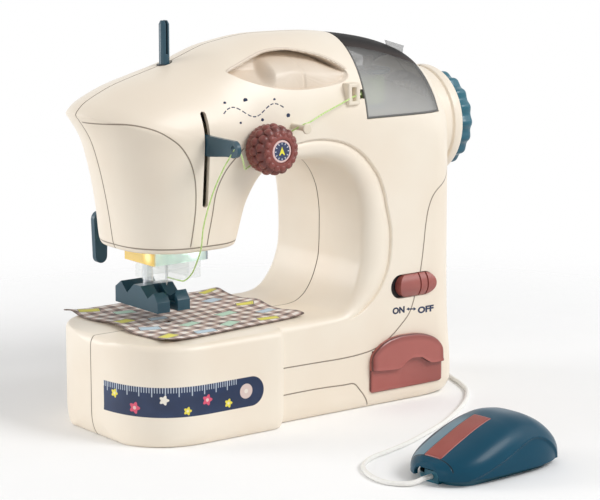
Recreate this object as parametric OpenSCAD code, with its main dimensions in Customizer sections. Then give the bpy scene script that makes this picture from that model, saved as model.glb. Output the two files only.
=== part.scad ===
// Toy sewing machine with a hand wheel, a moving needle, a lifting presser foot,
// a smoke cover over the thread spool, a drawer and a foot pedal on a cord.
// Millimetres, +Z up, the operator sits at -Y, the hand wheel is at +X.
// The origin is on the table under the middle of the base.

/* [Body] */
// Height of the sewing bed above the table
bed_height = 57; // [54:1:60]
// Half of the base depth, front to back
base_half_depth = 55; // [52:1:58]
// Left end of the base
base_left = -111; // [-116:1:-108]
// Right face of the column
column_right = 120; // [118:1:124]
// Throat side face of the column
column_inner = 48; // [44:1:50]
// Half of the column depth
column_half_depth = 46; // [45:1:48]
// Underside of the arm
arm_under = 148; // [146:1:149]
// Top of the arm
arm_top = 217; // [215:1:222]
// Half of the arm depth
arm_half_depth = 41; // [40:1:44]
// Lower edge of the head
head_bottom = 103; // [102:1:104]
// Left side of the head at its lower edge
head_left = -95; // [-98:1:-92]
// Right side of the head at its lower edge
head_right = -27; // [-30:1:-25]
// Half of the head depth at its lower edge
head_half_depth = 37; // [36:1:40]
// Left tip of the head
nose_x = -118; // [-122:1:-114]
// Height of the left tip of the head
nose_z = 180; // [176:1:184]
// Wall thickness of the shells
shell_wall = 2.4; // [2:0.2:3]
// Radius of the collar around the hand wheel
collar_r = 33; // [32:0.5:35]
// Outer face of the collar
collar_end = 131; // [129:1:132]

/* [Drive] */
// Height of the main shaft
shaft_z = 157; // [156.5:0.5:158]
// Main shaft diameter
shaft_d = 6; // [5:0.5:6]
// Radius of the crank pin circle
crank_r = 14; // [12:1:15]
// Hand wheel radius at the tips of its waves
wheel_r = 29; // [26:1:30]
// Hand wheel thickness
wheel_w = 11; // [9:1:13]
// Number of waves on the hand wheel rim
wheel_waves = 18; // [12:1:24]
// Gear tooth module
gear_module = 1; // [1:1:1]
// Teeth of the large gear
gear_teeth = 48; // [48:1:48]
// Teeth of the motor pinion
pinion_teeth = 12; // [12:1:12]
// Motor can radius
motor_r = 10; // [9:0.5:10.5]
// Motor can length
motor_len = 27; // [24:1:30]

/* [Needle and presser] */
// Needle line, from the middle of the base
needle_x = -60; // [-62:1:-58]
// Needle bar diameter
needle_bar_d = 5; // [4:0.5:5]
// Needle diameter
needle_d = 1.6; // [1.2:0.2:2]
// Needle tip height at rest
needle_tip = 79; // [77:1:81]
// Presser bar behind the needle
presser_y = 19; // [18.5:0.5:20]
// Presser bar diameter
presser_bar_d = 6; // [5:0.5:6.5]
// Presser foot width
foot_w = 22; // [20:1:24]
// Presser foot length
foot_l = 43; // [40:1:45]
// Presser foot underside at rest, raised
foot_z = 65; // [64:1:66]
// Thickness of the take-up lever
lever_t = 2.4; // [2:0.2:2.6]
// Reach of the take-up lever in front of the needle
lever_reach = 71; // [68:1:76]

/* [Knob, cover and spool] */
// Tension knob position to the right
knob_x = -23; // [-25:1:-21]
// Tension knob height
knob_z = 158.5; // [157:0.5:160]
// Tension knob radius
knob_r = 14.5; // [13:0.5:15]
// Left edge of the smoke cover
lid_left = 50; // [49:1:52]
// Right edge of the smoke cover
lid_right = 104; // [102:1:106]
// Lower front edge of the smoke cover
lid_low = 168; // [168:0.5:170]
// Thickness of the smoke cover
lid_wall = 1.8; // [1.4:0.2:2.2]
// Thread spool position to the right
spool_x = 84; // [82:1:86]
// Thread spool flange radius
spool_r = 13; // [11:0.5:14]
// Height of the top spool pin when it stands out
pin_top = 227.6; // [226:0.4:230]

/* [Drawer and switch] */
// Drawer front left edge
drawer_left = 49; // [48:1:51]
// Drawer front right edge
drawer_right = 103; // [101:1:104]
// Drawer depth
drawer_depth = 52; // [46:1:54]
// Drawer travel
drawer_travel = 40; // [34:1:42]
// Switch window middle
switch_x = 81; // [79:1:83]
// Switch window height
switch_z = 69; // [68:1:70]
// Switch window length
switch_len = 32; // [30:1:34]

/* [Pedal and cord] */
// Pedal length
pedal_len = 88; // [82:1:92]
// Pedal width
pedal_w = 54; // [50:1:58]
// Pedal height
pedal_h = 30; // [28:1:33]
// Pedal middle, to the right
pedal_x = 19; // [15:1:22]
// Pedal middle, to the front
pedal_y = -180; // [-184:1:-178]
// Pedal heading
pedal_turn = 5; // [0:1:10]
// Cord diameter
cord_d = 2.6; // [2.2:0.2:3]

/* [Cloth] */
// Cloth sample width
cloth_w = 102; // [95:1:106]
// Cloth sample thickness
cloth_t = 0.8; // [0.6:0.1:1]

/* [Fits] */
// Radial clearance of a shaft in its bore
run_fit = 0.05; // [0.03:0.01:0.08]
// Gap between pieces that slide past each other
slide_gap = 0.4; // [0.35:0.05:0.5]
// Gap around a piece set into a shell
seat_gap = 0.2; // [0.1:0.05:0.3]

/* [Hidden] */
$fn = 48;
eps = 0.01;
far = 400;
inner_steps = 3;
outer_steps = 6;
spine_steps = 2;
plan_power = 2.6;
end_centre = -65;
face_step = 9;
box_edge = -14.5;
lip_w = 18;
lip_d = 8;
arm_round = 69;
edge_w = 4;
foot_round_w = 12;
foot_round_d = 5;
shaft_r = shaft_d / 2;
bush_r = shaft_r + 1.5;
bush_len = 7;
bush_places = [-30, 89];
chassis_y = 26;
chassis_t = 3;
chassis_right = 112;
shelf_top = 165;
bar_guides = [106, 118];
chassis_top = 172;
chassis_low = arm_under + shell_wall + 1;
channel_w = 17;
channel_wall = 3;
bar_r = needle_bar_d / 2;
presser_r = presser_bar_d / 2;
gear_x = 108;
gear_w = 5;
pinion_w = 7;
motor_turn = -60;
motor_back = gear_x - 4 - motor_len;
gear_r = gear_module * gear_teeth / 2;
pinion_r = gear_module * pinion_teeth / 2;
motor_y = (gear_r + pinion_r) * cos(motor_turn);
motor_z = shaft_z + (gear_r + pinion_r) * sin(motor_turn);
motor_shaft_r = 1;
crank_x = needle_x + 14;
crank_w = 5;
crank_pin_r = 2;
crank_turn = 0;
pin_y = crank_r * sin(crank_turn);
pin_z = shaft_z + crank_r * cos(crank_turn);
clamp_z = 97;
eye_z = needle_tip + 4.6;
yoke_low = 152;
yoke_top = 175;
slot_low = 128.5;
slot_top = 181;
slot_w = 3.6;
lever_low = 157.3;
lever_high = 168.8;
lamp_low = 94;
guard_low = 84;
lamp_w = 29;
lamp_d = 26;
collar_z = 118;
collar_h = 3;
spring_top = 131;
lifter_x = needle_x - 4;
cam_y = presser_y + presser_r + 0.4;
lifter_z = 109.5;
lifter_r = 2;
tray_z = 165.4;
tray_t = 2;
post_r = 2.2;
hinge_y = 41.5;
hinge_z = arm_top - 33;
hinge_r = 2.2;
arm_w = 3;
arm_places = [lid_left + 3, lid_left + 14, lid_right - 17, lid_right - 6];
lid_rear_low = hinge_z + 3;
plate_t = 2.4;
plate_left = -92;
plate_right = 104;
plate_half = 37;
cell_r = 7.2;
cell_len = 50.5;
tray_left = -79;
tray_right = -15;
tray_half = 32;
door_screw_x = tray_left + 6;
drawer_low = 9.5;
drawer_high = 39.5;
drawer_wall = 1.8;
sleeve_wall = 1.4;
drawer_front_y = -(column_half_depth + 3.4);
front_y = -column_half_depth;
switch_h = 14;
slider_w = 27;
slider_h = switch_h - 0.8;
slider_end = switch_x + switch_len / 2 - 0.4;
barrel_r = 9;
barrel_y = front_y + 5.5;
needle_plate_w = 36;
needle_plate_d = 40;
needle_plate_t = 2;
jack_y = 15;
jack_z = 12;
jack_r = 2.4;
joint_posts = [[-88, 168], [-20, arm_top - 36], [100, 112], [-95, 34], [22, 34], [112, 58]];
base_posts = [[-86, 18], [2, 26], [24, 28]];
base_screw_places = [for (p = base_posts, side = [-1, 1]) [p[0], side * p[1]]];
head_y = 24;
chassis_posts = [[-33.4, 166], [40, 160], [100, 160], [needle_x + 15, 150]];
thread_r = 0.45;
thread_y = arm_half_depth;
guide_x = 41;
guide_z = 183;

// Half depth of the base near its rounded left end
function end_depth(x) =
    base_half_depth * pow(1 - pow(min((end_centre - x) / (end_centre - base_left), 0.9995), plan_power), 1 / plan_power);

// One row per section of the body, from the head round the throat to the left end of the base:
// throat side x and z, outer side x and z, half depth, throat corner width and depth,
// outer corner width and depth
throat_z = arm_under;
wall_x = column_inner;
head_rows = [
    [head_right - 5, head_bottom, head_left + 5, head_bottom, head_half_depth - 5, 20, 18, 26, 26],
    [head_right - 1.5, head_bottom + 1, head_left + 1.5, head_bottom + 1, head_half_depth - 1.5, 22, 21, 29, 30],
    [head_right, head_bottom + 4, head_left, head_bottom + 4, head_half_depth, 24, 23, 31, 32],
    [head_right + 6, head_bottom + 22, head_left - 3, head_bottom + 22, head_half_depth + 1, 26, 25, 35, 35],
    [head_right + 12, throat_z - 8, head_left - 8, head_bottom + 45, arm_half_depth - 1.5, 24, 18, 40, 38],
    [head_right + 16, throat_z - 2.5, head_left - 14, nose_z - 14, arm_half_depth - 0.5, 22, 13, 48, 39]
];
arm_rows = [
    [head_right + 19, throat_z - 0.7, nose_x + 2, nose_z - 3, arm_half_depth, 20, 10, 54, 39.5],
    [head_right + 20.5, throat_z - 0.2, nose_x, nose_z, arm_half_depth, 20, 9, 56, 39.5],
    [head_right + 22, throat_z, nose_x + 3.5, nose_z + 4.5, arm_half_depth, 19, 8.5, 58, 39.5],
    [head_right + 24, throat_z, nose_x + 20, nose_z + 13, arm_half_depth, lip_w, lip_d, 60, 39.5],
    [head_right + 28, throat_z, nose_x + 60, arm_top - 12.5, arm_half_depth, lip_w, lip_d, 62, 39.5],
    [head_right + 33, throat_z, -30, arm_top - 3.5, arm_half_depth, lip_w, lip_d, 60, 39.5],
    [head_right + 40, throat_z, 0, arm_top, arm_half_depth, lip_w, lip_d, 58, 39.5],
    [wall_x - 28, throat_z - 0.5, 30, arm_top - 0.5, arm_half_depth, lip_w, lip_d, 56, 39.5],
    [wall_x - 20, throat_z - 2.5, 58, arm_top - 3.5, arm_half_depth + 0.5, lip_w, lip_d, 56, 40]
];
column_rows = [
    [wall_x - 12, throat_z - 7.5, 84, arm_top - 9, column_half_depth - 3.5, lip_w, lip_d, 58, 41],
    [wall_x - 5.5, throat_z - 16, column_right - 16, arm_top - 18, column_half_depth - 2, lip_w, lip_d, 50, 41],
    [wall_x - 1.5, throat_z - 27, column_right - 4, arm_top - 33, column_half_depth - 0.5, lip_w, lip_d, 38, 38],
    [wall_x, throat_z - 40, column_right - 0.5, arm_top - 52, column_half_depth, lip_w, lip_d, 27, 30],
    [wall_x, throat_z - 50, column_right, 125, column_half_depth, lip_w, lip_d, 25, 26],
    [wall_x - 0.5, bed_height + 29, column_right, 85, column_half_depth, lip_w, lip_d, 24, 25],
    [wall_x - 3, bed_height + 19, column_right, 50, column_half_depth, lip_w, lip_d, 24, 24],
    [wall_x - 7, bed_height + 10.5, column_right, 25, column_half_depth, 17, lip_d, 22, 20],
    [wall_x - 12.5, bed_height + 4, column_right - 2, 8, column_half_depth, 15, lip_d, 18, 14],
    [wall_x - 19, bed_height + 0.8, column_right - 12, 0.6, column_half_depth, 13, lip_d, 14, 8]
];
base_rows = [
    [wall_x - 26, bed_height, 88, 0, column_half_depth, 12.5, lip_d, foot_round_w, foot_round_d],
    [wall_x - 36, bed_height, 55, 0, column_half_depth, 12.5, lip_d, foot_round_w, foot_round_d],
    [wall_x - 46, bed_height, 20, 0, column_half_depth, 12.5, lip_d, foot_round_w, foot_round_d],
    [box_edge + 4.5, bed_height, box_edge + 4.5, 0, base_half_depth - face_step, 11, 7, foot_round_w, foot_round_d],
    [box_edge, bed_height, box_edge, 0, base_half_depth - face_step + 0.6, 8, 6, foot_round_w, foot_round_d],
    [box_edge - 1.5, bed_height, box_edge - 1.5, 0, base_half_depth - 5, 5, 5, foot_round_w, foot_round_d],
    [box_edge - 4, bed_height, box_edge - 4, 0, base_half_depth - 1.6, edge_w, edge_w, foot_round_w, foot_round_d],
    [box_edge - 9.5, bed_height, box_edge - 9.5, 0, base_half_depth, edge_w, edge_w, foot_round_w, foot_round_d],
    [-45, bed_height, -45, 0, base_half_depth, edge_w, edge_w, foot_round_w, foot_round_d],
    [end_centre, bed_height, end_centre, 0, base_half_depth, edge_w, edge_w, foot_round_w, foot_round_d]
];
end_steps = [[0.37, 0], [0.61, 0], [0.76, 0], [0.87, 0.2], [0.945, 1.4], [0.983, 5.5], [0.998, 12]];
end_rows = [for (s = end_steps)
    let (x = end_centre - s[0] * (end_centre - base_left))
    [x, bed_height - s[1], x, s[1] * 1.25, end_depth(x), edge_w, edge_w, foot_round_w, foot_round_d]];
curved_rows = len(head_rows) + len(arm_rows) + 4;
body_rows = concat(head_rows, arm_rows, column_rows, base_rows, end_rows);
cavity_start = [[head_right - 3, head_bottom + shell_wall, head_left + 3, head_bottom + shell_wall,
    head_half_depth - 1.5, 22, 21, 29, 30]];
cavity_rows = concat(cavity_start, [for (i = [3 : len(body_rows) - 5]) body_rows[i]]);

// Smooth curve through four neighbouring rows
function blend4(a, b, c, d, t) =
    0.5 * (2 * b + (c - a) * t + (2 * a - 5 * b + 4 * c - d) * t * t + (3 * b - a - 3 * c + d) * t * t * t);

// Rows with in-between rows added, as far as a given row
function finer(rows, steps, stop = far) =
    let (last = len(rows) - 1)
    concat([for (i = [0 : last - 1], k = [0 : i < stop ? steps - 1 : 0])
        blend4(rows[max(i - 1, 0)], rows[i], rows[i + 1], rows[min(i + 2, last)], k / steps)], [rows[last]]);

// Closed outline of one section, drawn in by inset
function section(s, inset) =
    let (
        span = norm([s[2] - s[0], s[3] - s[1]]),
        ux = (s[2] - s[0]) / span,
        uz = (s[3] - s[1]) / span,
        half = max(s[4] - inset, 0.6),
        ia = max(s[5] - inset, 0.6),
        ib = min(max(s[6] - inset, 0.6), 0.9 * half),
        oa = max(s[7] - inset, 0.6),
        ob = min(max(s[8] - inset, 0.6), 0.96 * half),
        front = concat(
            [[inset, 0]],
            [for (k = [0 : inner_steps]) let (a = 90 * k / inner_steps)
                [inset + ia * (1 - cos(a)), ib - half - ib * sin(a)]],
            [for (k = [0 : outer_steps]) let (a = 90 * k / outer_steps)
                [span - inset - oa + oa * sin(a), ob - half - ob * cos(a)]],
            [[span - inset, 0]]),
        back = [for (k = [len(front) - 2 : -1 : 1]) [front[k][0], -front[k][1]]]
    )
    [for (p = concat(front, back)) [s[0] + ux * p[0], p[1], s[1] + uz * p[0]]];

// Faces of a skin over equal rings, with flat ends
function skin_faces(rings, n) =
    concat(
        [for (i = [0 : rings - 2], k = [0 : n - 1])
            let (a = i * n + k, b = i * n + (k + 1) % n) [a, b, a + n]],
        [for (i = [0 : rings - 2], k = [0 : n - 1])
            let (a = i * n + k, b = i * n + (k + 1) % n) [b, b + n, a + n]],
        [[for (k = [n - 1 : -1 : 0]) k]],
        [[for (k = [0 : n - 1]) (rings - 1) * n + k]]);

// Solid skin over a list of rings
module skin(rings) {
    polyhedron([for (r = rings) each r], skin_faces(len(rings), len(rings[0])), convexity = 8);
}

module body_outer(inset = 0) {
    skin([for (s = finer(body_rows, spine_steps, curved_rows)) section(s, inset)]);
}

module body_cavity() {
    skin([for (s = cavity_rows) section(s, shell_wall)]);
}

// Top of the body above a post: the head follows the nose
function post_top(x) = x < needle_x + 20 ? nose_z + 37 : arm_top;

// Depth of the wall behind a post, by the part of the body it stands in
function post_wall_depth(x, z) =
    z < bed_height + 4 ? (x < box_edge ? end_depth(min(x, end_centre)) : column_half_depth)
    : x > column_inner ? column_half_depth
    : x > column_inner - 20 ? max(column_half_depth - 3.5, (column_half_depth + arm_half_depth - 3) / 2)
    : arm_half_depth * sqrt(max(0.1, 1 - pow(max(0, z - post_top(x) + arm_round) / arm_round, 2)))
        * (x < head_left + 14 ? 0.86 : 1);

// Everything on one side of the parting plane: -1 front, 1 rear
module half_space(side) {
    translate([-far, side > 0 ? 0 : -far, -far])
        cube([2 * far, far, 2 * far]);
}

// Rod along Y between two depths
module rod_y(x, z, y0, y1, r) {
    translate([x, y0, z])
        rotate([-90, 0, 0])
            cylinder(h = y1 - y0, r = r);
}

// Rod along X between two places
module rod_x(y, z, x0, x1, r) {
    translate([x0, y, z])
        rotate([0, 90, 0])
            cylinder(h = x1 - x0, r = r);
}

// Upright rod
module rod_z(x, y, z0, z1, r) {
    translate([x, y, z0])
        cylinder(h = z1 - z0, r = r);
}

// Upright plate with rounded corners, in plan
module round_plate(x0, x1, half, r) {
    translate([x0 + r, -half])
        square([x1 - x0 - 2 * r, 2 * half]);
    translate([x0, r - half])
        square([x1 - x0, 2 * half - 2 * r]);
    for (x = [x0 + r, x1 - r])
        for (y = [r - half, half - r])
            translate([x, y])
                circle(r = r);
}

// Slot with round ends, cut along Y
module slot_y(x0, z0, x1, z1, y0, y1, r) {
    hull() {
        rod_y(x0, z0, y0, y1, r, $fn = 24);
        rod_y(x1, z1, y0, y1, r, $fn = 24);
    }
}

// Finger scoop under the carrying edge of the arm
module grip_scoop(grow) {
    hull() {
        translate([-25, -arm_half_depth + 1, 197])
            sphere(r = 5 + grow, $fn = 12);
        translate([4, -arm_half_depth + 3, 199])
            sphere(r = 10.5 + grow, $fn = 16);
        translate([34, -arm_half_depth + 2, 197])
            sphere(r = 6.5 + grow, $fn = 12);
    }
}

// Collar that the hand wheel stands in front of
module wheel_collar() {
    difference() {
        rod_x(0, shaft_z, column_right - 16, collar_end, collar_r, $fn = 40);
        rod_x(0, shaft_z, column_right - 17, collar_end - shell_wall, collar_r - shell_wall, $fn = 40);
        rod_x(0, shaft_z, column_right - 17, collar_end + 1, shaft_r + slide_gap + 0.6, $fn = 16);
        rod_x(motor_y, motor_z, column_right - 17, gear_x + pinion_w, pinion_r + 2, $fn = 20);
    }
}

// Openings that both shells share
module shared_cuts() {
    translate([lid_left, -far, lid_low])
        cube([lid_right - lid_left, far, far]);
    translate([lid_left, -eps, lid_rear_low])
        cube([lid_right - lid_left, far, far]);
    rod_z(needle_x, 0, arm_top - 40, arm_top + 30, 4.4, $fn = 20);
    translate([needle_x - lamp_w / 2 - seat_gap, -lamp_d / 2 - seat_gap, head_bottom - 2])
        cube([lamp_w + 2 * seat_gap, lamp_d / 2 + chassis_y + chassis_t + 2 * seat_gap, shell_wall + 3]);
    translate([needle_x - needle_plate_w / 2 - seat_gap, -needle_plate_d / 2 - seat_gap, bed_height - 6])
        cube([needle_plate_w + 2 * seat_gap, needle_plate_d + 2 * seat_gap, 10]);
    translate([0, 0, -1])
        linear_extrude(plate_t + 1)
            round_plate(plate_left - seat_gap, plate_right + seat_gap, plate_half + seat_gap, 12, $fn = 24);
    rod_x(0, shaft_z, column_right - 20, column_right + 4, shaft_r + slide_gap + 0.6, $fn = 16);
}

// Tapered screw post from the parting plane to the wall
module joint_post(x, z, side) {
    depth = side * (post_wall_depth(x, z) - shell_wall / 2);
    hull() {
        rod_y(x, z, min(0, side), max(0, side), 3.6, $fn = 8);
        rod_y(x, z, min(depth, depth - side), max(depth, depth - side), 4.6, $fn = 8);
    }
}

// Tapered post under the bed
module base_post(x, y) {
    hull() {
        rod_z(x, y, plate_t, plate_t + 1, 3.4, $fn = 8);
        rod_z(x, y, bed_height - 2, bed_height - 1.2, 4.2, $fn = 8);
    }
}

// Front half of the cream body
module front_shell() {
    color("#eee2cf")
        difference() {
            union() {
                intersection() {
                    difference() {
                        body_outer();
                        difference() {
                            body_cavity();
                            grip_scoop(shell_wall);
                        }
                    }
                    half_space(-1);
                }
                for (p = joint_posts)
                    joint_post(p[0], p[1], -1);
                for (p = base_posts)
                    base_post(p[0], -p[1]);
                intersection() {
                    wheel_collar();
                    half_space(-1);
                }
            }
            grip_scoop(0);
            shared_cuts();
            slot_y(needle_x, slot_low + slot_w / 2, needle_x, slot_top - slot_w / 2, -60, -20, slot_w / 2);
            slot_y(switch_x - (switch_len - switch_h) / 2, switch_z, switch_x + (switch_len - switch_h) / 2,
                switch_z, -60, -30, switch_h / 2);
            translate([drawer_left + 2, -60, drawer_low - 1])
                cube([drawer_right - drawer_left - 4, 40, drawer_high - drawer_low - 5]);
            slot_y(lid_left - 2, 182, lid_left + 1, 182, -50, -25, 2.6);
        }
}

// Rear half of the cream body
module rear_shell() {
    color("#eadfcb")
        difference() {
            union() {
                intersection() {
                    difference() {
                        body_outer();
                        body_cavity();
                    }
                    half_space(1);
                }
                for (p = joint_posts)
                    joint_post(p[0], p[1], 1);
                for (p = base_posts)
                    base_post(p[0], p[1]);
                for (p = chassis_posts)
                    rod_y(p[0], p[1], chassis_y + chassis_t, post_wall_depth(p[0], p[1]) - shell_wall / 2, 4, $fn = 8);
                intersection() {
                    wheel_collar();
                    half_space(1);
                }
                for (x = [lid_left + 10, lid_right - 10])
                    hull() {
                        rod_x(hinge_y, hinge_z, x - 3, x + 3, hinge_r, $fn = 16);
                        translate([x - 3, hinge_y - 9, hinge_z - 9])
                            cube([6, 4, 6]);
                    }
            }
            shared_cuts();
            for (p = joint_posts)
                rod_y(p[0], p[1], head_y, 70, 3.7, $fn = 12);
            rod_y(lifter_x, lifter_z, 30, 60, lifter_r + 0.6, $fn = 16);
            rod_x(hinge_y, hinge_z, lid_left, lid_right, 1.2 + run_fit, $fn = 16);
            for (x = arm_places)
                translate([x - slide_gap, hinge_y - 14, hinge_z - 3])
                    cube([arm_w + 2 * slide_gap, 20, 8]);
            rod_x(jack_y, jack_z, column_right - 8, column_right + 4, jack_r, $fn = 16);
            for (i = [0 : 4])
                slot_y(72 + 7 * i, 84, 72 + 7 * i, 104, 30, 60, 1.2);
        }
}

// Bottom cover with the battery opening
module base_plate() {
    color("#d9cdb9")
        difference() {
            linear_extrude(plate_t)
                round_plate(plate_left, plate_right, plate_half, 12);
            translate([tray_left, -tray_half, -1])
                cube([tray_right - tray_left, 2 * tray_half, plate_t + 2]);
            for (p = base_screw_places) {
                rod_z(p[0], p[1], -1, plate_t + 1, 1.6);
                rod_z(p[0], p[1], -1, 1.4, 3.2);
            }
        }
}

// Screws of the bottom cover and of the battery door
module base_screws() {
    color("#8d8f92")
        for (p = base_screw_places)
            difference() {
                union() {
                    rod_z(p[0], p[1], 0.3, 1.4, 3);
                    rod_z(p[0], p[1], 1, 13, 1.4);
                }
                translate([p[0] - 2, p[1] - 0.4, 0.2])
                    cube([4, 0.8, 0.6]);
                translate([p[0] - 0.4, p[1] - 2, 0.2])
                    cube([0.8, 4, 0.6]);
            }
    color("#8d8f92")
        difference() {
            union() {
                rod_z(door_screw_x, 0, 0.2, 1.2, 2.8);
                rod_z(door_screw_x, 0, 1, plate_t + 0.8, 1.4);
            }
            translate([door_screw_x - 2, -0.4, 0])
                cube([4, 0.8, 0.7]);
        }
}

// Screws that join the two shells from the rear
module shell_screws() {
    color("#8d8f92")
        for (p = joint_posts)
            difference() {
                union() {
                    rod_y(p[0], p[1], head_y, head_y + 2.2, 3.3);
                    rod_y(p[0], p[1], -14, head_y + 1, 1.4);
                }
                translate([p[0] - 2.2, head_y + 1.4, p[1] - 0.4])
                    cube([4.4, 2, 0.8]);
                translate([p[0] - 0.4, head_y + 1.4, p[1] - 2.2])
                    cube([0.8, 2, 4.4]);
            }
}

// Battery box above the opening of the bottom cover
module battery_box() {
    color("#4a4744")
        difference() {
            translate([tray_left - 1.6, -tray_half - 1.6, plate_t])
                cube([tray_right - tray_left + 3.2, 2 * tray_half + 3.2, 2 * cell_r + 4]);
            translate([tray_left, -tray_half, plate_t - 1])
                cube([tray_right - tray_left, 2 * tray_half, 2 * cell_r + 3.4]);
        }
}

// Four round cells, side by side
module battery_cells() {
    color("#6f7a63")
        for (i = [0 : 3]) {
            y = (i - 1.5) * (2 * cell_r + 0.8);
            flip = i % 2 == 0 ? 1 : -1;
            middle = (tray_left + tray_right) / 2;
            rod_x(y, plate_t + cell_r + 1.6, middle - cell_len / 2, middle + cell_len / 2 - 1.5, cell_r);
            rod_x(y, plate_t + cell_r + 1.6, middle + flip * (cell_len / 2 - 1) - 1.4,
                middle + flip * (cell_len / 2 - 1) + 1.4, 2.6);
        }
}

// Contact plates at both ends of the cells
module battery_contacts() {
    color("#b9bcc0")
        for (x = [tray_left, tray_right - 0.6])
            for (side = [-1, 1])
                translate([x, side * (cell_r + 8.2) - 13, plate_t + 3])
                    cube([0.6, 26, 12]);
    color("#b9bcc0")
        for (i = [0 : 3])
            for (end = [-1, 1]) {
                y = (i - 1.5) * (2 * cell_r + 0.8);
                x0 = end < 0 ? tray_left + 0.6 : (tray_left + tray_right) / 2 + cell_len / 2 + 0.2;
                x1 = end < 0 ? (tray_left + tray_right) / 2 - cell_len / 2 - 0.5 : tray_right - 0.6;
                rod_x(y, plate_t + cell_r + 1.6, x0, x1, 3);
            }
}

// Door of the battery box
module battery_door() {
    color("#d9cdb9")
        difference() {
            union() {
                translate([tray_left + seat_gap, seat_gap - tray_half, 0])
                    cube([tray_right - tray_left - 2 * seat_gap, 2 * tray_half - 2 * seat_gap, plate_t - 0.4]);
                translate([tray_left + 3, 4 - tray_half, plate_t - 0.5])
                    cube([tray_right - tray_left - 6, 2 * tray_half - 8, 0.9]);
            }
            rod_z(door_screw_x, 0, -1, plate_t + 2, 1.5);
            rod_z(door_screw_x, 0, -1, 1.2, 3);
            for (i = [0 : 4])
                translate([tray_right - 14 + 2.4 * i, -9, -eps])
                    cube([1.2, 18, 0.6]);
        }
}

// Metal plate under the needle
module needle_plate() {
    color("#b7b9bb")
        difference() {
            translate([needle_x - needle_plate_w / 2, -needle_plate_d / 2, bed_height - needle_plate_t])
                cube([needle_plate_w, needle_plate_d, needle_plate_t]);
            rod_z(needle_x, 0, bed_height - 5, bed_height + 1, 2.4);
            for (x = [-8, 8])
                translate([needle_x + x - 1.5, -2, bed_height - 5])
                    cube([3, 14, 8]);
        }
    color("#b7b9bb")
        for (x = [-1, 1])
            translate([needle_x + x * (needle_plate_w / 2 - 3) - 2.5, -needle_plate_d / 2 - 3, bed_height - 4.4])
                cube([5, needle_plate_d + 6, 2.4]);
}

// Inner frame that carries the shaft, the motor and the bars
module chassis() {
    color("#5d5a57")
        difference() {
            union() {
                translate([needle_x - channel_w / 2 - channel_wall, chassis_y, head_bottom + 1])
                    cube([channel_w + 2 * channel_wall, chassis_t, chassis_top - head_bottom - 1]);
                translate([needle_x, chassis_y, chassis_low - 9])
                    cube([22, chassis_t, chassis_top - chassis_low + 9]);
                translate([needle_x, chassis_y, chassis_low])
                    cube([chassis_right - needle_x, chassis_t, shelf_top - chassis_low]);
                translate([-36, chassis_y, chassis_low])
                    cube([76, chassis_t, chassis_top - chassis_low]);
                for (x = [needle_x - channel_w / 2 - channel_wall, needle_x + channel_w / 2])
                    translate([x, -6, bar_guides[0]])
                        cube([channel_wall, chassis_y + 6, 30]);
                for (z = [[bar_guides[0], 4], [bar_guides[1], 6]])
                    translate([needle_x - channel_w / 2, -6, z[0]])
                        cube([channel_w, 12, z[1]]);
                for (z = [[head_bottom + 0.6, 3.4], [spring_top, 5]])
                    translate([needle_x - channel_w / 2 - channel_wall, presser_y - 6, z[0]])
                        cube([channel_w + 2 * channel_wall, chassis_y - presser_y + 6, z[1]]);
                for (x = bush_places)
                    translate([x, -bush_r - 2, chassis_low])
                        cube([bush_len, chassis_y + bush_r + 2, shelf_top - 0.5 - chassis_low]);
                translate([motor_back, chassis_y, motor_z - motor_r - 2])
                    cube([motor_len - 1, chassis_t, shaft_z - motor_z + motor_r]);
                translate([motor_back + 7, motor_y, motor_z - motor_r - 2])
                    cube([motor_len - 14, chassis_y - motor_y + eps, 2 * motor_r + 4]);
            }
            for (z = bar_guides)
                rod_z(needle_x, 0, z - 1, z + 7, bar_r + run_fit);
            for (z = [head_bottom, spring_top])
                rod_z(needle_x, presser_y, z - 1, z + 8, presser_r + run_fit);
            for (x = bush_places)
                rod_x(0, shaft_z, x - 1, x + bush_len + 1, bush_r);
            rod_x(motor_y, motor_z, motor_back - 1, gear_x - 3, motor_r + 0.02);
            rod_y(lifter_x, lifter_z, chassis_y - 1, chassis_y + chassis_t + 1, lifter_r + run_fit);
            translate([lifter_x - 8, cam_y - 0.6, lifter_z - 2])
                cube([8, chassis_y - cam_y + 0.6, 10]);
            for (p = chassis_posts)
                rod_y(p[0], p[1], chassis_y - 1, chassis_y + chassis_t + 1, 1.5);
        }
}

// Screws that hold the inner frame to the rear shell
module chassis_screws() {
    color("#8d8f92")
        for (p = chassis_posts) {
            rod_y(p[0], p[1], chassis_y - 2, chassis_y, 2.8);
            rod_y(p[0], p[1], chassis_y - 1, chassis_y + 8, 1.2);
        }
}

// Two plain bushes of the main shaft
module shaft_bushes() {
    color("#b08d57")
        for (x = bush_places)
            difference() {
                rod_x(0, shaft_z, x, x + bush_len, bush_r);
                rod_x(0, shaft_z, x - 1, x + bush_len + 1, shaft_r + run_fit);
            }
}

// Main shaft from the crank to the hand wheel
module main_shaft() {
    color("#a9adb2")
        rod_x(0, shaft_z, crank_x + crank_w - 1, collar_end + wheel_w, shaft_r);
}

// Crank disc with its pin towards the needle bar
module crank_disc() {
    color("#d8d2c6")
        difference() {
            union() {
                rod_x(0, shaft_z, crank_x, crank_x + crank_w, crank_r + 3);
                rod_x(0, shaft_z, crank_x + crank_w - eps, crank_x + crank_w + 5, shaft_r + 2.5);
                rod_x(pin_y, pin_z, crank_x - 3.2, crank_x + 1, crank_pin_r);
            }
            rod_x(0, shaft_z, crank_x + crank_w - 1, crank_x + crank_w + 6, shaft_r);
        }
}

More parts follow.
